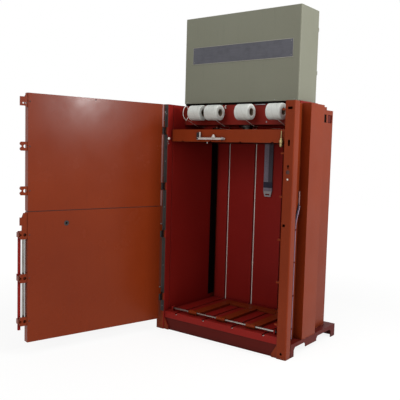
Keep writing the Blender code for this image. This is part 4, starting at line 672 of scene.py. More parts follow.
def dress(node, finish):
    """Give a node that stays as it is its finish."""
    for material_slot in NODES[node].material_slots:
        material_slot.material = FINISHES[finish]


def facing(point, direction):
    """The turn and place that send a shape's own +Z along a direction from a point."""
    turn = Vector(direction).to_track_quat("Z", "Y").to_matrix().to_4x4()
    return Matrix.Translation(point) @ turn


def add_to(shape, part):
    """Put one finished form into a shape that holds several."""
    mesh = bpy.data.meshes.new("part")
    part.to_mesh(mesh)
    part.free()
    shape.from_mesh(mesh)
    bpy.data.meshes.remove(mesh)


def add_round(shape, place, radius, height, sides, end_radius=None):
    """A closed round or many-sided bar standing on a place."""
    bmesh.ops.create_cone(
        shape, cap_ends=True, cap_tris=False, segments=sides,
        radius1=radius, radius2=radius if end_radius is None else end_radius, depth=height,
        matrix=place @ Matrix.Translation((0, 0, height / 2)),
    )


def add_box(shape, low, high, ease, place=Matrix()):
    """A block between two corners with eased edges."""
    low, high = Vector(low), Vector(high)
    part = bmesh.new()
    bmesh.ops.create_cube(
        part, size=1,
        matrix=Matrix.Translation((low + high) / 2) @ Matrix.Diagonal((*(high - low), 1)),
    )
    bmesh.ops.bevel(
        part, geom=list(part.edges), offset=ease, segments=2, profile=0.5,
        affect="EDGES", material=-1,
    )
    bmesh.ops.transform(part, matrix=place, verts=part.verts)
    add_to(shape, part)


def add_bolt(shape, point, direction, scale=1.0):
    """Hexagon bolt with a chamfered head on a washer."""
    size = sizes()
    place = facing(point, direction)
    thick = size.washer_thickness * scale
    add_round(shape, place, size.washer * scale, thick, size.small_sides)
    head = place @ Matrix.Translation((0, 0, thick))
    radius, high = size.bolt * scale, size.bolt_height * scale
    add_round(shape, head, radius, high * 0.8, 6)
    cap = head @ Matrix.Translation((0, 0, high * 0.8))
    add_round(shape, cap, radius, high * 0.2, 6, radius * 0.84)


def add_rivet(shape, point, direction, radius):
    """Low domed head."""
    place = facing(point, direction) @ Matrix.Diagonal((1, 1, 0.45, 1))
    bmesh.ops.create_uvsphere(
        shape, u_segments=16, v_segments=8, radius=radius, matrix=place,
    )


def add_run(shape, spots, radii, sides):
    """Sweep a ring along points, with a radius for each point."""
    spots = [Vector(spot) for spot in spots]
    runs = [(after - before).normalized() for before, after in zip(spots, spots[1:])]
    heads = [runs[0]]
    heads += [(before + after).normalized() for before, after in zip(runs, runs[1:])]
    heads.append(runs[-1])
    part = bmesh.new()
    bmesh.ops.create_circle(
        part, cap_ends=True, segments=sides, radius=radii[0],
        matrix=facing(spots[0], heads[0]),
    )
    edges = part.edges[:]
    for index in range(1, len(spots)):
        grown = bmesh.ops.extrude_edge_only(part, edges=edges)["geom"]
        verts = [item for item in grown if isinstance(item, bmesh.types.BMVert)]
        edges = [item for item in grown if isinstance(item, bmesh.types.BMEdge)]
        spot = spots[index]
        bmesh.ops.translate(part, verts=verts, vec=spot - spots[index - 1])
        bmesh.ops.rotate(
            part, verts=verts, cent=spot,
            matrix=heads[index - 1].rotation_difference(heads[index]).to_matrix(),
        )
        bmesh.ops.scale(
            part, verts=verts, vec=(radii[index] / radii[index - 1],) * 3,
            space=Matrix.Translation(-spot),
        )
    bmesh.ops.holes_fill(part, edges=edges, sides=sides)
    bmesh.ops.recalc_face_normals(part, faces=part.faces)
    add_to(shape, part)


def add_weld(shape, start, end):
    """A rippled bead from one point to another, half sunk in the corner it fills."""
    size = sizes()
    start, end = Vector(start), Vector(end)
    steps = max(4, int((end - start).length / size.weld_pitch) * 2)
    spots = [start.lerp(end, step / steps) for step in range(steps + 1)]
    radii = [size.weld * (1 if step % 2 else 0.8) for step in range(steps + 1)]
    radii[0] = radii[-1] = size.weld * 0.5
    add_run(shape, spots, radii, 8)


def add_lathe(shape, profile, place, sides):
    """Spin points of radius and height about a place's own Z, as a closed form."""
    part = bmesh.new()
    spots = [part.verts.new((radius, 0, height)) for radius, height in profile]
    lines = [part.edges.new(pair) for pair in zip(spots, spots[1:])]
    if profile[0][0] > 0:
        lines.append(part.edges.new((spots[-1], spots[0])))
    bmesh.ops.spin(
        part, geom=spots + lines, cent=(0, 0, 0), axis=(0, 0, 1),
        angle=2 * math.pi, steps=sides, use_merge=True, use_duplicate=False,
    )
    bmesh.ops.remove_doubles(part, verts=part.verts, dist=WELD_GAP)
    bmesh.ops.recalc_face_normals(part, faces=part.faces)
    bmesh.ops.transform(part, matrix=place, verts=part.verts)
    add_to(shape, part)


def boxed(name, blocks, ease, finish, place=Matrix(), **settings):
    """A piece of eased blocks, each given by its low and high corner."""
    shape = bmesh.new()
    for low, high in blocks:
        add_box(shape, low, high, ease, place)
    shown(name, shape, finish, **settings)


def spun(name, profile, place, sides, finish, **settings):
    """A piece that is one profile spun about its place."""
    shape = bmesh.new()
    add_lathe(shape, profile, place, sides)
    shown(name, shape, finish, **settings)


def swept(name, spots, radius, sides, finish, **settings):
    """A piece that is one round wire, duct or cable along points."""
    shape = bmesh.new()
    add_run(shape, spots, [radius] * len(spots), sides)
    shown(name, shape, finish, **settings)


def both_sides(blocks):
    """Blocks at the right side, and then their mirror images at the left."""
    return blocks + [((-high[0], *low[1:]), (-low[0], *high[1:])) for low, high in blocks]


def joint(name):
    """A joint of the frame by its name."""
    return next(item for item in frame["joints"] if item["name"] == name)


def door_space():
    """A door's own space: X from its hinge along it, Y into the chamber when shut."""
    hinge = joint("lower_door_hinge")
    x, y, _ = hinge["pos_m"]
    turn = Matrix.Rotation(-math.radians(hinge["range_deg"][1]), 4, "Z")
    return Matrix.Translation((x, y, 0)) @ turn


def door_extent(node):
    """Lowest and highest corner of a door node in the door's own space."""
    back = door_space().inverted()
    spots = [back @ vert.co for vert in NODES[node].data.vertices]
    low = Vector([min(spot[axis] for spot in spots) for axis in range(3)])
    high = Vector([max(spot[axis] for spot in spots) for axis in range(3)])
    return low, high


def claw_levels(node):
    """Heights of the three claws of a door."""
    low = door_extent(node)[0]
    return [low.z + rise for rise in CLAW_RISES[node]]


def between_arms(start, ends, gap):
    """Lower and upper ends of the strips that fit between hinge arms."""
    spans = []
    for arm in ends:
        spans.append((start, arm - gap))
        start = arm + ARM_HEIGHT + gap
    return spans


# Operators

class BALER_OT_frame(bpy.types.Operator):
    """Frame, walls, base and floor with eased edges, weld beads, fasteners and trim"""

    bl_idname = "baler.frame"
    bl_label = "Frame"

    def execute(self, context):
        pieces = {node: eased(node, "paint") for node in PAINTED_NODES}
        pieces.update({node: eased(node, "inner") for node in INNER_NODES})
        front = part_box("right_post")[0].y - sizes().eased_edge / 2
        coat_faces(pieces["left_post"], "inner", lambda face: face.normal.x > 0.5)
        coat_faces(pieces["left_post"], "black", lambda face: face.center.y < front)
        # The top plate's front face takes the near-black finish: painted shadow in the gap under the cover
        coat_faces(pieces["top_plate"], "seal", lambda face: face.normal.y < -0.5)
        for node, out in OUTWARD.items():
            coat_faces(pieces[node], "paint", lambda face: face.normal.dot(out) > 0.5)
        eased("crosshead", "web")
        # The base rails take the darker paint: painted shade
        eased("base_frame", "low")
        dress("ejector_shaft", "steel")
        frame_welds()
        frame_fasteners()
        hinge_post_trim()
        lock_post_trim()
        corner_trim()
        return {"FINISHED"}


def frame_welds():
    """Beads at the hinge arms, the posts' and columns' feet, the ribs and the beam."""
    post_low, post_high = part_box("right_post")
    column_low, column_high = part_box("right_side_column")
    corner_low, corner_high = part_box("right_corner_post")
    wall_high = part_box("right_side_wall")[1]
    beam_low, beam_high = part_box("crosshead")
    base_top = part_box("base_frame")[1].z
    hinge_x = joint("lower_door_hinge")["pos_m"][0]
    shape = bmesh.new()
    for low in ARM_LOWS:
        for side in (-0.017, 0.017):
            x = hinge_x + side
            add_weld(shape, (x, post_low.y, low + 0.006), (x, post_low.y, low + 0.054))
    for side in (1, -1):
        add_weld(
            shape, (side * (post_low.x + 0.07), post_high.y, base_top),
            (side * (post_high.x - 0.012), post_high.y, base_top),
        )
        add_weld(
            shape, (side * beam_high.x, beam_low.y, beam_low.z + 0.01),
            (side * beam_high.x, beam_low.y, beam_high.z - 0.01),
        )
        for start in (0.02, 0.095, 0.17):
            column_y, corner_y = column_low.y + start, corner_low.y + 0.02 + start * 1.4
            for x, y, length in (
                (side * column_high.x, column_y, 0.045), (side * corner_high.x, corner_y, 0.05),
            ):
                add_weld(shape, (x, y, base_top), (x, y + length, base_top))
        for low in (0.3, 0.7, 1.1, 1.55, 1.9):
            if side < 0 or low > 1.5:
                x = side * wall_high.x
                add_weld(shape, (x, column_low.y, low), (x, column_low.y, low + 0.06))
    for node in RIB_NODES:
        low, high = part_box(node)
        for x in (low.x, high.x):
            add_weld(shape, (x, corner_high.y, low.z + 0.01), (x, corner_high.y, high.z - 0.01))
    shown("frame_welds", shape, "paint")


def frame_fasteners():
    """Bolts of the spool holders, the beam and the ejector shaft, and the beam's rail and hook."""
    shape = bmesh.new()
    for node in HOLDER_NODES:
        low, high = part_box(node)
        for z in (low.z + 0.012, high.z - 0.012):
            add_bolt(shape, (low.x + 0.019, high.y - 0.006, z), -DEEP, 0.55)
    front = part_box("crosshead")[0].y
    add_bolt(shape, (0.284, front, 1.922), -DEEP, 0.6)
    shaft_low, shaft_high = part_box("ejector_shaft")
    middle = (shaft_low + shaft_high) / 2
    for x, way in ((shaft_low.x, -ACROSS), (shaft_high.x, ACROSS)):
        add_bolt(shape, (x, middle.y, middle.z), way, 1.1)
    rail = [(BEAM_RAIL[0][0], front), *BEAM_RAIL, (BEAM_RAIL[-1][0], front)]
    add_run(shape, [(x, y, BEAM_RAIL_Z) for x, y in rail], [0.0036] * len(rail), 12)
    shown("frame_fasteners", shape, "zinc")
    curl = [(front, 2.070), (0.200, 2.068), (0.193, 2.062)]
    for step in range(8):
        turn = math.pi * step / 8
        curl.append((0.193 + 0.007 * (1 - math.cos(turn)), 2.052 - 0.007 * math.sin(turn)))
    swept("beam_hook", [(-0.1377, y, z) for y, z in curl], 0.0034, 12, "white")


def hinge_post_trim():
    """Rubber strip, screws, pads and a white buffer on the hinge post."""
    size = sizes()
    front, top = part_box("right_post")[0].y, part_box("left_post")[1].z
    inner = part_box("left_side_wall")[1].x
    face = front - size.strip
    strips = [
        ((inner - 0.040, face, start), (inner, front, end))
        for start, end in between_arms(0.17, (*ARM_LOWS, top - 0.001), 0.004)
    ]
    boxed("hinge_post_strip", strips, THIN_EASE, "rubber")
    shape = bmesh.new()
    for x, z, radius in POST_SCREWS:
        place = facing((x, face, z), -DEEP)
        add_round(shape, place, radius, FLAT_HEAD, size.small_sides, radius * 0.8)
    for y, z, radius in ((-0.034, 1.741, 0.006), (-0.025, 1.722, 0.0075)):
        add_rivet(shape, (inner, y, z), ACROSS, radius)
    shown("hinge_post_screws", shape, "zinc")
    pads = [
        ((-0.636, face - FLAT_HEAD * 0.7, z - 0.012), (-0.606, face, z + 0.012))
        for z in (1.955, 1.790, 1.690)
    ]
    boxed("hinge_post_pads", pads, THIN_EASE / 2, "black")
    buffer = [
        (0, 0), (0.0125, 0), (0.0125, 0.003), (0.0105, 0.009), (0.006, 0.0125), (0, 0.0135),
    ]
    spun("hinge_post_buffer", buffer, facing((inner, -0.026, 1.766), ACROSS), 32, "white")


def lock_post_trim():
    """Plug and ring in the round hole, and the duct, cable, sleeve and clips on the column."""
    low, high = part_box("right_post")
    middle = (CHAMBER_HALF + high.x) / 2
    shape = bmesh.new()
    place = facing((middle, low.y + 0.0055, POST_HOLE_Z), -DEEP)
    add_round(shape, place, 0.0146, 0.0025, 32)
    shown("post_hole_plug", shape, "plug")
    ring = [(0.0128, 0), (0.0160, 0), (0.0160, 0.0012), (0.0128, 0.0012)]
    place = facing((middle, low.y - 0.00001, POST_HOLE_Z), -DEEP)
    spun("post_hole_ring", ring, place, 32, "plug")
    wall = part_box("right_side_wall")[1].x
    x, y = wall + 0.0062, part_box("right_side_column")[0].y - 0.0062
    lean = 0.062
    bend = [(lean, 0.118), (lean, 0.6), (lean, 1.05), (lean - 0.004, 1.09), (lean * 0.5, 1.16),
            (0.004, 1.23), (0, 1.27)]
    swept("column_duct", [(x, y - back, z) for back, z in bend], 0.0055, 16, "cable")
    cable = [(x + 0.0102, y - back + 0.0015, max(z, 0.1145)) for back, z in bend[:-1]]
    swept("column_cable", cable, 0.0042, 16, "cord")
    sleeve = [
        (0, 0), (0.0058, 0), (0.0072, 0.001), (0.0072, 0.112), (0.0045, 0.116), (0, 0.117),
    ]
    spun("duct_sleeve", sleeve, facing((x, y, 1.236), UPRIGHT), sizes().small_sides, "pale")
    clips = [
        ((wall, y - lean - 0.012, z), (x + 0.016, y - lean + 0.012, z + 0.012))
        for z in (0.20, 0.48, 0.76, 1.03)
    ]
    boxed("duct_clips", clips, 0.0015, "low", slot_name="paint_deep_red")


def corner_trim():
    """Dark strips up the rear corners as painted shade, plates behind the lifting slots (the black one as painted
    shade inside the post), and the rear rail's strip.
    """
    wall_low, wall_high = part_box("right_side_wall")
    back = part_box("back_wall")[0].y
    floor_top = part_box("chamber_floor")[1].z
    # Near-black strips on the corner post between side wall and back wall: painted shade in the rear corners
    seals = [
        ((wall_low.x - 0.0015, wall_high.y - 0.045, floor_top),
         (wall_low.x, wall_high.y, SHADE_STRIP_TOP)),
        ((wall_high.x + 0.0007, wall_high.y + 0.0002, floor_top),
         (wall_high.x + 0.0057, back - 0.0003, SHADE_STRIP_TOP)),
    ]
    boxed("corner_seals", both_sides(seals), THIN_EASE, "seal")
    low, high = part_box("right_corner_post")
    plate = high.x - POST_PLATE
    # Behind the narrow slot a black plate paints the shade inside the post; behind the wider window a red plate
    for finish, near, far in (("seal", 0.140, 0.198), ("low", 0.208, 0.300)):
        backing = [
            ((plate - 0.003, low.y + near, high.z - 0.122), (plate, low.y + far, high.z - 0.028)),
        ]
        boxed(
            "slot_backing_" + finish, both_sides(backing), THIN_EASE, finish,
            slot_name="paint_deep_red",
        )
    rail_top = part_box("base_frame")[1].z
    strip = (
        (-wall_low.x + 0.003, back + 0.0005, rail_top - 0.008),
        (wall_low.x - 0.003, back + 0.0199, rail_top - 0.0001),
    )
    boxed("rear_rail_strip", [strip], THIN_EASE, "low")


class BALER_OT_doors(bpy.types.Operator):
    """Doors, their lock gear, hinge pins, seals that paint the seam's shadow and the hinge edge's highlight, welds
    and plugs
    """

    bl_idname = "baler.doors"
    bl_label = "Doors"

    def execute(self, context):
        fine = sizes().cover_edge
        for node in DOOR_NODES:
            eased(node, "door")
        eased("lock_bar", "inner")
        eased("door_catch", "black", fine)
        dress("guide_rod", "steel")
        for node in PIN_NODES:
            eased(node, "zinc", fine)
        door_shade_and_highlight_strips()
        for node in DOOR_NODES:
            door_welds(node)
            door_plugs(node)
        return {"FINISHED"}


def door_shade_and_highlight_strips():
    """Rubber in the seam below the upper door, dark as painted shadow of the seam, and a pale strip at its hinge
    edge as painted highlight of the rounded edge.
    """
    place = door_space()
    low, high = door_extent("upper_door")
    # Dark strip in the seam under the upper door: rubber and painted shadow
    seam = (
        (DOOR_PAN + 0.002, DOOR_FACE - 0.040, low.z - sizes().seal),
        (DOOR_FREE - 0.002, DOOR_FACE - 0.0006, low.z + 0.0005),
    )
    boxed("seam_seal", [seam], 0.0008, "seam", place, body="upper_door")
    strips = [
        # Pale strip along the upper door's hinge edge: painted highlight of its rounded edge
        ((0.0085, DOOR_FACE, start), (DOOR_PAN + 0.004, DOOR_FACE + 0.0018, end))
        for start, end in between_arms(low.z + 0.002, (*ARM_LOWS[2:], high.z + 0.001), 0.005)
    ]
    boxed("hinge_edge_strip", strips, 0.0006, "pale", place, body="upper_door")


def door_welds(node):
    """Stitches along the ribs outside and beads at the claws' roots."""
    beads = []
    for level in claw_levels(node):
        for share in (0.06, 0.28, 0.5, 0.72, 0.94):
            x = DOOR_PAN + (DOOR_FREE - DOOR_PAN) * share
            y, z = DOOR_FACE - 0.005, level - 0.030
            beads.append(((x - 0.03, y, z), (x + 0.03, y, z)))
        for z in (level - 0.026, level + 0.008):
            y = DOOR_FACE - 0.0053
            beads.append(((DOOR_FREE, y, z), (DOOR_FREE, y, z + 0.018)))
    place = door_space()
    shape = bmesh.new()
    for start, end in beads:
        add_weld(shape, place @ Vector(start), place @ Vector(end))
    shown(node + "_welds", shape, "door", body=BODY_OF[node])


def door_plugs(node):
    """Dark plugs in the inner face by the free edge, and a dot at the upper door's top."""
    place = door_space()
    inward = place.to_3x3() @ DEEP
    dots = [(DOOR_FREE - 0.015, level, 0.0065) for level in claw_levels(node)]
    if node == "upper_door":
        dots.append((0.697, door_extent(node)[1].z - 0.012, 0.007))
    shape = bmesh.new()
    for x, z, radius in dots:
        add_rivet(shape, place @ Vector((x, DOOR_FACE, z)), inward, radius)
    shown(node + "_plugs", shape, "plug", body=BODY_OF[node])


class BALER_OT_cover(bpy.types.Operator):
    """Top cover, its bare plate with a rim, screws, hinges and louvres"""

    bl_idname = "baler.cover"
    bl_label = "Cover"

    def execute(self, context):
        fine = sizes().cover_edge
        eased("top_cover", "cover", fine)
        eased("name_plate", "plate", fine / 2)
        plate_rim()
        cover_screws()
        cover_hinges()
        cover_louvres()
        return {"FINISHED"}


def plate_rim():
    """Flat frame round the name plate, with a rivet in each corner of the plate."""
    rim = sizes().rim
    low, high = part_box("name_plate")
    bars = (
        (low.x - rim, high.x + rim, low.z - rim, low.z),
        (low.x - rim, high.x + rim, high.z, high.z + rim),
        (low.x - rim, low.x, low.z, high.z),
        (high.x, high.x + rim, low.z, high.z),
    )
    blocks = [((left, low.y, foot), (right, high.y, top)) for left, right, foot, top in bars]
    boxed("name_plate_rim", blocks, THIN_EASE, "rim")
    inset = 0.014
    shape = bmesh.new()
    for x in (low.x + inset, high.x - inset):
        for z in (low.z + inset, high.z - inset):
            add_rivet(shape, (x, low.y, z), -DEEP, 0.0032)
    shown("name_plate_rivets", shape, "zinc")


def spread(low, high, count):
    """Places of screws along a hem, clear of its corners."""
    return [low + 0.04 + (high - low - 0.08) * step / (count - 1) for step in range(count)]


def cover_screws():
    """Screws along the lower hem of the cover, on all four sides."""
    radius = sizes().screw
    low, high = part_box("top_cover")
    z = low.z + 0.012
    shape = bmesh.new()
    for x in spread(low.x, high.x, 7):
        add_rivet(shape, (x, low.y, z), -DEEP, radius)
        add_rivet(shape, (x, high.y, z), DEEP, radius)
    for y in spread(low.y, high.y, 3):
        add_rivet(shape, (low.x, y, z), -ACROSS, radius)
        add_rivet(shape, (high.x, y, z), ACROSS, radius)
    shown("cover_screws", shape, "zinc")


def cover_hinges():
    """Two hinges at the rear right edge."""
    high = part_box("top_cover")[1]
    x = high.x - 0.010
    shape = bmesh.new()
    for z in (2.335, 2.70):
        add_box(shape, (x - 0.02, high.y, z - 0.014), (x, high.y + 0.003, z + 0.046), 0.0008)
        add_round(shape, facing((x + 0.001, high.y + 0.0065, z), UPRIGHT), 0.0055, 0.032, 20)
    shown("cover_hinges", shape, "cover")


def cover_louvres():
    """Two columns of pressed louvres in the rear face, over the motor and the tank."""
    low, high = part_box("top_cover")
    swell = Matrix.Diagonal((0.10, sizes().louvre, 0.011, 1))
    shape = bmesh.new()
    for middle in (-0.30, 0.29):
        for step in range(7):
            z = low.z + 0.30 + 0.028 * step
            part = bmesh.new()
            bmesh.ops.create_uvsphere(
                part, u_segments=20, v_segments=12, radius=1,
                matrix=Matrix.Translation((middle, high.y, z)) @ swell,
            )
            bmesh.ops.bisect_plane(
                part, geom=[*part.verts, *part.edges, *part.faces],
                plane_co=(middle, high.y - 0.0004, z), plane_no=DEEP, clear_inner=True,
            )
            rim = [edge for edge in part.edges if edge.is_boundary]
            bmesh.ops.holes_fill(part, edges=rim, sides=0)
            add_to(shape, part)
    shown("cover_louvres", shape, "cover")


class BALER_OT_press(bpy.types.Operator):
    """Press plate, rod, gland, barrel, guide shoes and the power pack under the cover"""

    bl_idname = "baler.press"
    bl_label = "Press"

    def execute(self, context):
        eased("platen", "platen")
        # Rod, piston and gland take darkened steel as painted shade
        for node in SHADED_PRESS_NODES:
            dress(node, "oiled")
        for node in BLACK_NODES:
            eased(node, "black")
        for node in POWER_NODES:
            eased(node, "grey")
        barrel_bolts()
        platen_fittings()
        return {"FINISHED"}


def barrel_bolts():
    """Ring of eight bolts on the press barrel's flange."""
    low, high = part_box("press_barrel")
    middle = (low + high) / 2
    shape = bmesh.new()
    for step in range(8):
        turn = math.pi * (step + 0.5) / 4
        x = middle.x + BARREL_CIRCLE * math.cos(turn)
        y = middle.y + BARREL_CIRCLE * math.sin(turn)
        add_bolt(shape, (x, y, BARREL_FLANGE_Z), UPRIGHT)
    shown("barrel_bolts", shape, "zinc")


def platen_fittings():
    """Bolt end under the press plate and the thick body round its brass fitting."""
    tip = [(0, 0), (0.005, 0), (0.006, 0.002), (0.006, 0.015), (0, 0.015)]
    place = facing((-0.194, 0.018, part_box("platen")[0].z - 0.015), UPRIGHT)
    spun("platen_bolts", tip, place, 20, "zinc", body="platen")
    low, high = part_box("beam_fitting")
    middle, radius = (low + high) / 2, (high.x - low.x) / 2
    swell = [
        (0, 0), (radius - 0.001, 0), (radius + 0.0020, 0.004), (radius + 0.0045, 0.012),
        (radius + 0.0045, 0.022), (radius + 0.0020, 0.030), (radius - 0.001, 0.034), (0, 0.034),
    ]
    place = facing((middle.x, middle.y, low.z + 0.022), UPRIGHT)
    spun("fitting_body", swell, place, sizes().small_sides, "brass", body="platen")


class BALER_OT_spools(bpy.types.Operator):
    """Wound tape spools on cardboard cores, and the wire beside them"""

    bl_idname = "baler.spools"
    bl_label = "Spools"

    def execute(self, context):
        size = sizes()
        outside = CORE_BORE + size.core_wall
        for node in SPOOL_NODES:
            low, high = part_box(node)
            middle = (low + high) / 2
            place = facing((low.x, middle.y, middle.z), ACROSS)
            length = high.x - low.x
            winding = winding_profile(length, (high.z - low.z) / 2, outside)
            spun(
                node + "_winding", winding, place, size.round_sides, "wound",
                body=BODY_OF[node], stands_for=(node,),
            )
            end = length - 0.003
            tube = [(CORE_BORE, 0), (outside, 0), (outside, end), (CORE_BORE, end)]
            spun(node + "_core", tube, place, size.round_sides, "core", body=BODY_OF[node])
        spool_guide()
        return {"FINISHED"}


def spool_guide():
    """Bent wire beside the left spool that keeps its turns from slipping off."""
    low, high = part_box("tape_spool_1")
    y, z = (low.y + high.y) / 2, (low.z + high.z) / 2
    left, holder = low.x - 0.046, low.x - 0.006
    arc = [
        (left, y - 0.066 * math.sin(turn), z + 0.066 * math.cos(turn))
        for turn in [math.pi * (0.08 + 0.84 * step / 20) for step in range(21)]
    ]
    start = [(holder, y + 0.01, z + 0.030), (left + 0.006, y + 0.01, z + 0.030),
             (left, y + 0.008, z + 0.036)]
    end = [(left, y + 0.008, z - 0.036), (left + 0.006, y + 0.01, z - 0.030),
           (holder, y + 0.01, z - 0.030)]
    swept("spool_guide", start + arc + end, sizes().wire, 12, "white", slot_name="bright_steel")


def winding_profile(length, radius, inner):
    """Half section of the wound tape: ridges outside, dished ends."""
    size = sizes()
    turns = int(length / size.winding_pitch)
    points = [(inner, 0.002), (radius * 0.6, 0.0012), (radius - 0.007, 0.0006)]
    for step in range(2 * turns + 1):
        along = length * (step + 1) / (2 * turns + 2)
        shoulder = min(along, length - along)
        drop = 0.006 * max(0, 1 - shoulder / 0.007) ** 2
        ridge = size.winding if step % 2 else 0
        points.append((radius - drop - ridge, along))
    points += [
        (radius - 0.007, length - 0.0006), (radius * 0.6, length - 0.0012),
        (inner, length - 0.003),
    ]
    return points


class BALER_OT_tapes(bpy.types.Operator):
    """Baling tapes down the grooves"""

    bl_idname = "baler.tapes"
    bl_label = "Tapes"

    def execute(self, context):
        for node in TAPE_NODES:
            dress(node, "tape")
        return {"FINISHED"}


class BALER_OT_strap(bpy.types.Operator):
    """Lifting strap with its sewn foot, its band and its hook"""

    bl_idname = "baler.strap"
    bl_label = "Lifting strap"

    def execute(self, context):
        low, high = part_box("lifting_strap")
        width, length = high.x - low.x, high.z - low.z
        strap = woven(
            "lifting_strap_webbing", "webbing", (0, length), 60, 0.0022,
            cup=(high.y - low.y) * 0.32, ripple=0.0006, stands_for=("lifting_strap",),
        )
        band = woven("strap_band", "band", (0.030, 0.085), 8, 0.0042, wider=0.003)
        base = woven("strap_base", "base", (0.001, 0.028), 8, 0.0040, wider=0.003)
        eased("strap_hook", "zinc", sizes().cover_edge)
        return {"FINISHED"}


def woven(name, finish, span, rows, thick, cup=0.0016, ripple=0, wider=0, stands_for=()):
    """A cupped layer of webbing between two heights over the strap's lower end."""
    low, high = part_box("lifting_strap")
    width, length = high.x - low.x + wider, span[1] - span[0]
    shape = bmesh.new()
    bmesh.ops.create_grid(shape, x_segments=14, y_segments=rows, size=0.5)
    weave = shape.loops.layers.uv.new("weave")
    for face in shape.faces:
        for loop in face.loops:
            spot = loop.vert.co
            loop[weave].uv = (spot.x * width, spot.y * length)
    for vert in shape.verts:
        across, along = vert.co.x, vert.co.y
        bow = (low.y + high.y) / 2 + cup * math.cos(2 * math.pi * across)
        vert.co = Vector((
            (low.x + high.x) / 2 + across * width,
            bow + ripple * math.sin(9 * math.pi * along),
            low.z + span[0] + (along + 0.5) * length,
        ))
    piece = shown(name, shape, finish, body="platen", stands_for=stands_for)
    wall = piece.modifiers.new("wall", "SOLIDIFY")
    wall.thickness = thick
    wall.offset = 0
    return piece


class BALER_OT_catch(bpy.types.Operator):
    """Catch arm with its knob, grip and stop, the brass fitting, switch button and conduit"""

    bl_idname = "baler.catch"
    bl_label = "Catch"

    def execute(self, context):
        fine = sizes().cover_edge
        eased("catch_arm", "pale_zinc", fine)
        dress("catch_knob", "zinc")
        catch_trim()
        eased("beam_fitting", "brass", fine)
        dress("switch_plunger", "white")
        dress("switch_conduit", "zinc")
        return {"FINISHED"}


def catch_trim():
    """Grip on the arm, and the stop beside its bracket."""
    low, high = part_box("catch_arm")
    bracket_low, bracket_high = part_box("catch_bracket")
    grip = [(0, 0), (0.018, 0), (0.018, 0.003), (0.010, 0.020), (0.006, 0.027), (0, 0.028)]
    place = facing((-0.110, (low.y + high.y) / 2, high.z), UPRIGHT)
    spun("catch_grip", grip, place, 32, "pale_zinc", body="catch")
    side, front = bracket_high.x, bracket_low.y + 0.002
    shape = bmesh.new()
    add_box(
        shape, (side, front, high.z + 0.0005),
        (side + 0.011, bracket_high.y - 0.014, bracket_high.z + 0.004), 0.0012,
    )
    for z in (bracket_high.z - 0.006, bracket_high.z - 0.024):
        add_rivet(shape, (side + 0.0055, front, z), -DEEP, 0.0048)
    shown("catch_stop", shape, "pale_zinc", body="platen")


class BALER_OT_stage(bpy.types.Operator):
    """Floor, white surroundings, four soft lamps and the camera"""

    bl_idname = "baler.stage"
    bl_label = "Stage"

    def execute(self, context):
        stage = stage_sizes()
        make_floor()
        make_world(stage.ambient)
        for name, (spot, target, width) in LAMPS.items():
            add_lamp(name + "_lamp", spot, target, width, getattr(stage, name + "_power"))
        make_camera()
        return {"FINISHED"}


def seen_directly(tree):
    """A value that is 1 for what the camera, a mirror or glass sees, and 0 for light."""
    path = tree.nodes.new("ShaderNodeLightPath")
    total = path.outputs["Is Camera Ray"]
    for name in ("Is Glossy Ray", "Is Transmission Ray"):
        node = tree.nodes.new("ShaderNodeMath")
        node.operation = "MAXIMUM"
        tree.links.new(total, node.inputs[0])
        tree.links.new(path.outputs[name], node.inputs[1])
        total = node.outputs[0]
    return total


def make_world(ambient):
    """White surroundings to the eye, which light the object at their own strength."""
    world = bpy.data.worlds.new("surroundings")
    world.use_nodes = True
    tree = world.node_tree
    light = tree.nodes["Background"]
    white = tree.nodes.new("ShaderNodeBackground")
    for node, strength in ((light, ambient), (white, 1)):
        node.inputs["Color"].default_value = (1, 1, 1, 1)
        node.inputs["Strength"].default_value = strength
    blend = tree.nodes.new("ShaderNodeMixShader")
    tree.links.new(seen_directly(tree), blend.inputs[0])
    tree.links.new(light.outputs[0], blend.inputs[1])
    tree.links.new(white.outputs[0], blend.inputs[2])
    tree.links.new(blend.outputs[0], tree.nodes["World Output"].inputs["Surface"])
    bpy.context.scene.world = world


def make_floor():
    """Pale floor that looks white to the camera and still takes the shadow."""
    shape = bmesh.new()
    bmesh.ops.create_grid(shape, x_segments=1, y_segments=1, size=14)
    mesh = bpy.data.meshes.new("stage_floor")
    shape.to_mesh(mesh)
    shape.free()
    floor = bpy.data.objects.new("stage_floor", mesh)
    bpy.context.scene.collection.objects.link(floor)
    recipe = Recipe("stage_floor")
    recipe.set(Roughness=0.9, Specular_IOR_Level=0.1)
    recipe.feed(recipe.shader.inputs["Base Color"], colours().floor)
    glow = recipe.add("ShaderNodeEmission")
    recipe.fill(glow, Color=(1, 1, 1, 1), Strength=1.08)
    blend = recipe.add("ShaderNodeMixShader")
    far = recipe.add("ShaderNodeVectorMath", operation="LENGTH")
    recipe.link(recipe.place, far.inputs[0])
    whiteness = recipe.between(far.outputs["Value"], 2.2, 6.0, 0.80, 1.0)
    recipe.link(recipe.product(seen_directly(recipe.tree), whiteness), blend.inputs[0])
    recipe.link(recipe.shader.outputs[0], blend.inputs[1])
    recipe.link(glow.outputs[0], blend.inputs[2])
    recipe.link(blend.outputs[0], recipe.tree.nodes["Material Output"].inputs["Surface"])
    mesh.materials.append(recipe.material)


def add_lamp(name, spot, target, width, power):
    """Soft square lamp at a spot, turned to the point that it shines at."""
    lamp = bpy.data.lights.new(name, "AREA")
    lamp.shape = "SQUARE"
    lamp.size = width
    lamp.energy = power
    thing = bpy.data.objects.new(name, lamp)
    bpy.context.scene.collection.objects.link(thing)
    thing.location = spot
    aim = Vector(target) - Vector(spot)
    thing.rotation_euler = aim.to_track_quat("-Z", "Y").to_euler()


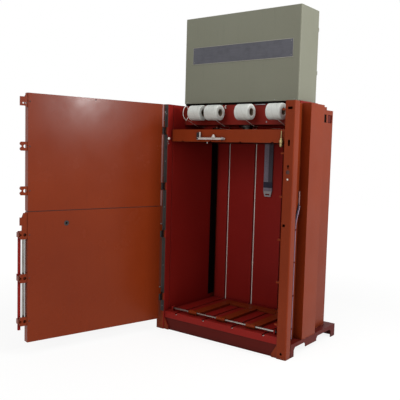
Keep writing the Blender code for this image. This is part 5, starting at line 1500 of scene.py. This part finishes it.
def make_camera():
    """Camera at its place, with its heading, pitch and roll."""
    stage = stage_sizes()
    heading, pitch, roll = stage.heading, stage.pitch, stage.roll
    ahead = Vector((
        math.sin(heading) * math.cos(pitch), math.cos(heading) * math.cos(pitch),
        -math.sin(pitch),
    ))
    level = Vector((math.cos(heading), -math.sin(heading), 0))
    above = level.cross(ahead)
    across = math.cos(roll) * level + math.sin(roll) * above
    up = -math.sin(roll) * level + math.cos(roll) * above
    data = bpy.data.cameras.new("photo_camera")
    data.lens = stage.lens
    data.sensor_width = 36
    camera = bpy.data.objects.new("photo_camera", data)
    bpy.context.scene.collection.objects.link(camera)
    turn = Matrix((across, up, -ahead)).transposed().to_4x4()
    camera.matrix_world = Matrix.Translation(stage.eye) @ turn
    bpy.context.scene.camera = camera


OPERATORS = (
    BALER_OT_stage, BALER_OT_frame, BALER_OT_doors, BALER_OT_cover, BALER_OT_press,
    BALER_OT_spools, BALER_OT_tapes, BALER_OT_strap, BALER_OT_catch,
)


class BALER_PT_panel(bpy.types.Panel):
    """Lists the baler's operators"""

    bl_idname = "BALER_PT_panel"
    bl_label = "Recycling baler"
    bl_space_type = "VIEW_3D"
    bl_region_type = "UI"
    bl_category = "Baler"

    def draw(self, context):
        for operator in OPERATORS:
            self.layout.operator(operator.bl_idname)
        for group in (colours(), sizes(), stage_sizes()):
            box = self.layout.box()
            for name in group.bl_rna.properties.keys():
                if name not in ("rna_type", "name"):
                    box.prop(group, name)


GROUPS = {
    "baler_colours": BalerColours, "baler_sizes": BalerSizes, "baler_stage": BalerStage,
}


def register():
    for group in GROUPS.values():
        bpy.utils.register_class(group)
    for operator in (*OPERATORS, BALER_PT_panel):
        bpy.utils.register_class(operator)
    for name, group in GROUPS.items():
        setattr(bpy.types.Scene, name, PointerProperty(type=group))


def unregister():
    for name in GROUPS:
        delattr(bpy.types.Scene, name)
    for operator in (BALER_PT_panel, *reversed(OPERATORS)):
        bpy.utils.unregister_class(operator)
    for group in GROUPS.values():
        bpy.utils.unregister_class(group)


def main():
    register()
    bpy.context.scene.view_settings.view_transform = "Standard"
    make_finishes()
    bpy.ops.baler.stage()
    bpy.ops.baler.frame()
    bpy.ops.baler.doors()
    bpy.ops.baler.cover()
    bpy.ops.baler.press()
    bpy.ops.baler.spools()
    bpy.ops.baler.tapes()
    bpy.ops.baler.strap()
    bpy.ops.baler.catch()


if __name__ == "__main__":
    main()
